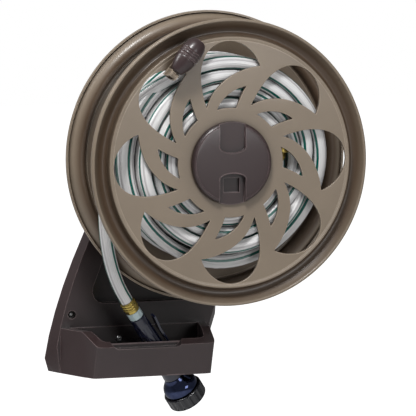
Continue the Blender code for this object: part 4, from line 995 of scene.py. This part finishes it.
def nozzle():
    ribs = [(0.0060, -0.0004), (0.0112, -0.0004), (0.0118, 0.0002)]
    for start in (0.0012, 0.0060, 0.0108):
        ribs += [(0.0116, start), (0.0125, start + 0.0010), (0.0128, start + 0.0022),
                 (0.0125, start + 0.0034), (0.0116, start + 0.0044)]
    ribs += [(0.0116, 0.0160), (0.0120, 0.0172), (0.0120, 0.0194), (0.0114, 0.0200),
             (0.0060, 0.0200)]
    ferrule = dress(ring("ribbed_ferrule", ribs, 64, NOZZLE), "brass", "bracket", "hose_ferrule")

    collar = [(0.0088, 0.0340), (0.0111, 0.0340), (0.0118, 0.0334), (0.0122, 0.0322),
              (0.0122, 0.0222), (0.0119, 0.0210), (0.0113, 0.0203), (0.0088, 0.0203)]
    collar = ring("clear_collar", collar, 72, NOZZLE)
    collar = fluted(collar, 9, 0.0215, 0.0330, 0.94, NOZZLE)
    dress(collar, "pale_plastic", "nozzle_collar", "nozzle_collar")

    body = station_profile([(0.0345, 0.0124), (0.0360, 0.0130), (0.0420, 0.0131), (0.0600, 0.0136),
                            (0.0850, 0.0142), (0.1100, 0.0148), (0.1350, 0.0156), (0.1500, 0.0164),
                            (0.1610, 0.0172), (0.1635, 0.0170), (GRIP_END, 0.0160)], 8)
    body = [(0, 0.0236), (0.0083, 0.0236), (0.0083, 0.0343)] + body + [(0, GRIP_END)]
    grip = turned("lacquered_grip", body, 72, NOZZLE)
    grip = fluted(grip, 6, 0.050, 0.138, 0.93, NOZZLE)
    x, z = LEVER_PIVOT
    reach = BOSS_R * 0.9
    across = NOZZLE @ Matrix.Translation((x, 0, z)) @ Matrix.Rotation(pi / 2, 4, "X")
    cut(grip, rod("boss", BOSS_R, -BOSS_HALF, BOSS_HALF, 32, across), "UNION")
    foot = block("boss_foot", (0.006, -BOSS_HALF, z - reach), (x, BOSS_HALF, z + reach), NOZZLE)
    cut(grip, foot, "UNION")
    dress(smooth(grip), "navy_gloss", "bracket", "nozzle_grip")

    lever = cad_copy("nozzle_lever", "trigger_lever", 0.0008, 2, 25)
    dress(lever, "navy_gloss", "nozzle_lever", "nozzle_lever")

    low, top = GRIP_END + 0.0003, DOME_END
    dome = station_profile([(low, 0.0165), (low + 0.0047, 0.0188), (low + 0.0097, 0.0226),
                            (low + 0.0147, 0.0262), (low + 0.0197, 0.0281), (top - 0.0030, 0.0286),
                            (top - 0.0005, 0.0281)], 8)
    dome = [(0.0083, low)] + dome + [(0.0268, top), (0.0083, top)]
    dress(ring("chrome_dome", dome, 96, NOZZLE), "chrome", "bracket", "nozzle_shoulder")

    low, top = DOME_END + 0.0006, DIAL_END
    edge = station_profile([(low, DIAL_R - 0.0027), (low + 0.0009, DIAL_R - 0.0011),
                            (low + 0.0029, DIAL_R), (low + 0.0114, DIAL_R), (top - 0.0030, DIAL_R),
                            (top - 0.0010, DIAL_R - 0.0008), (top, DIAL_R - 0.0023)], 6)
    inner = DIAL_R - 0.0060
    edge = [(0.0086, low)] + edge + [(inner, top), (inner, low + 0.0030), (0.0086, low + 0.0030)]
    dial = ring("dial_ring", edge, 108, NOZZLE)
    dial = fluted(dial, 18, low + 0.0014, top - 0.0015, 0.955, NOZZLE)
    dress(dial, "black_plastic", "nozzle_dial", "nozzle_ring")

    top = DIAL_END - 0.0036
    edge = inner - 0.0006
    profile = [(0, top), (0.010, top - 0.0002), (edge - 0.0045, top - 0.0009),
               (edge - 0.0008, top - 0.0018), (edge, top - 0.0029), (edge, low + 0.0036),
               (0, low + 0.0036)]
    face = turned("spray_face", profile, 72, NOZZLE)
    for number in range(6):
        place = NOZZLE @ Matrix.Translation((*polar(60 * number, DIAL_R / 2), 0))
        cut(face, rod("spray_tool", 0.0022, top - 0.0044, top + 0.01, 20, place))
    dress(smooth(face), "black_plastic", "nozzle_dial", "spray_plate")
    return [ferrule, collar]


# ---------------------------------------------------------------- all together
def carried_over():
    """The CAD nodes that stay get their slot's finish."""
    slots = {row["node"]: row["material_slot"] for row in frame["record"]["subparts"]}
    for name, node in frame["nodes"].items():
        node.data.materials.clear()
        node.data.materials.append(MATERIALS[slots[name]])


studio()
studio_floor()
carried_over()
free_run, run_line, run_length = hose(MATERIALS["hose"])
flanges()
hub_cap()
knob()
screws()
bracket()
fittings = nozzle()
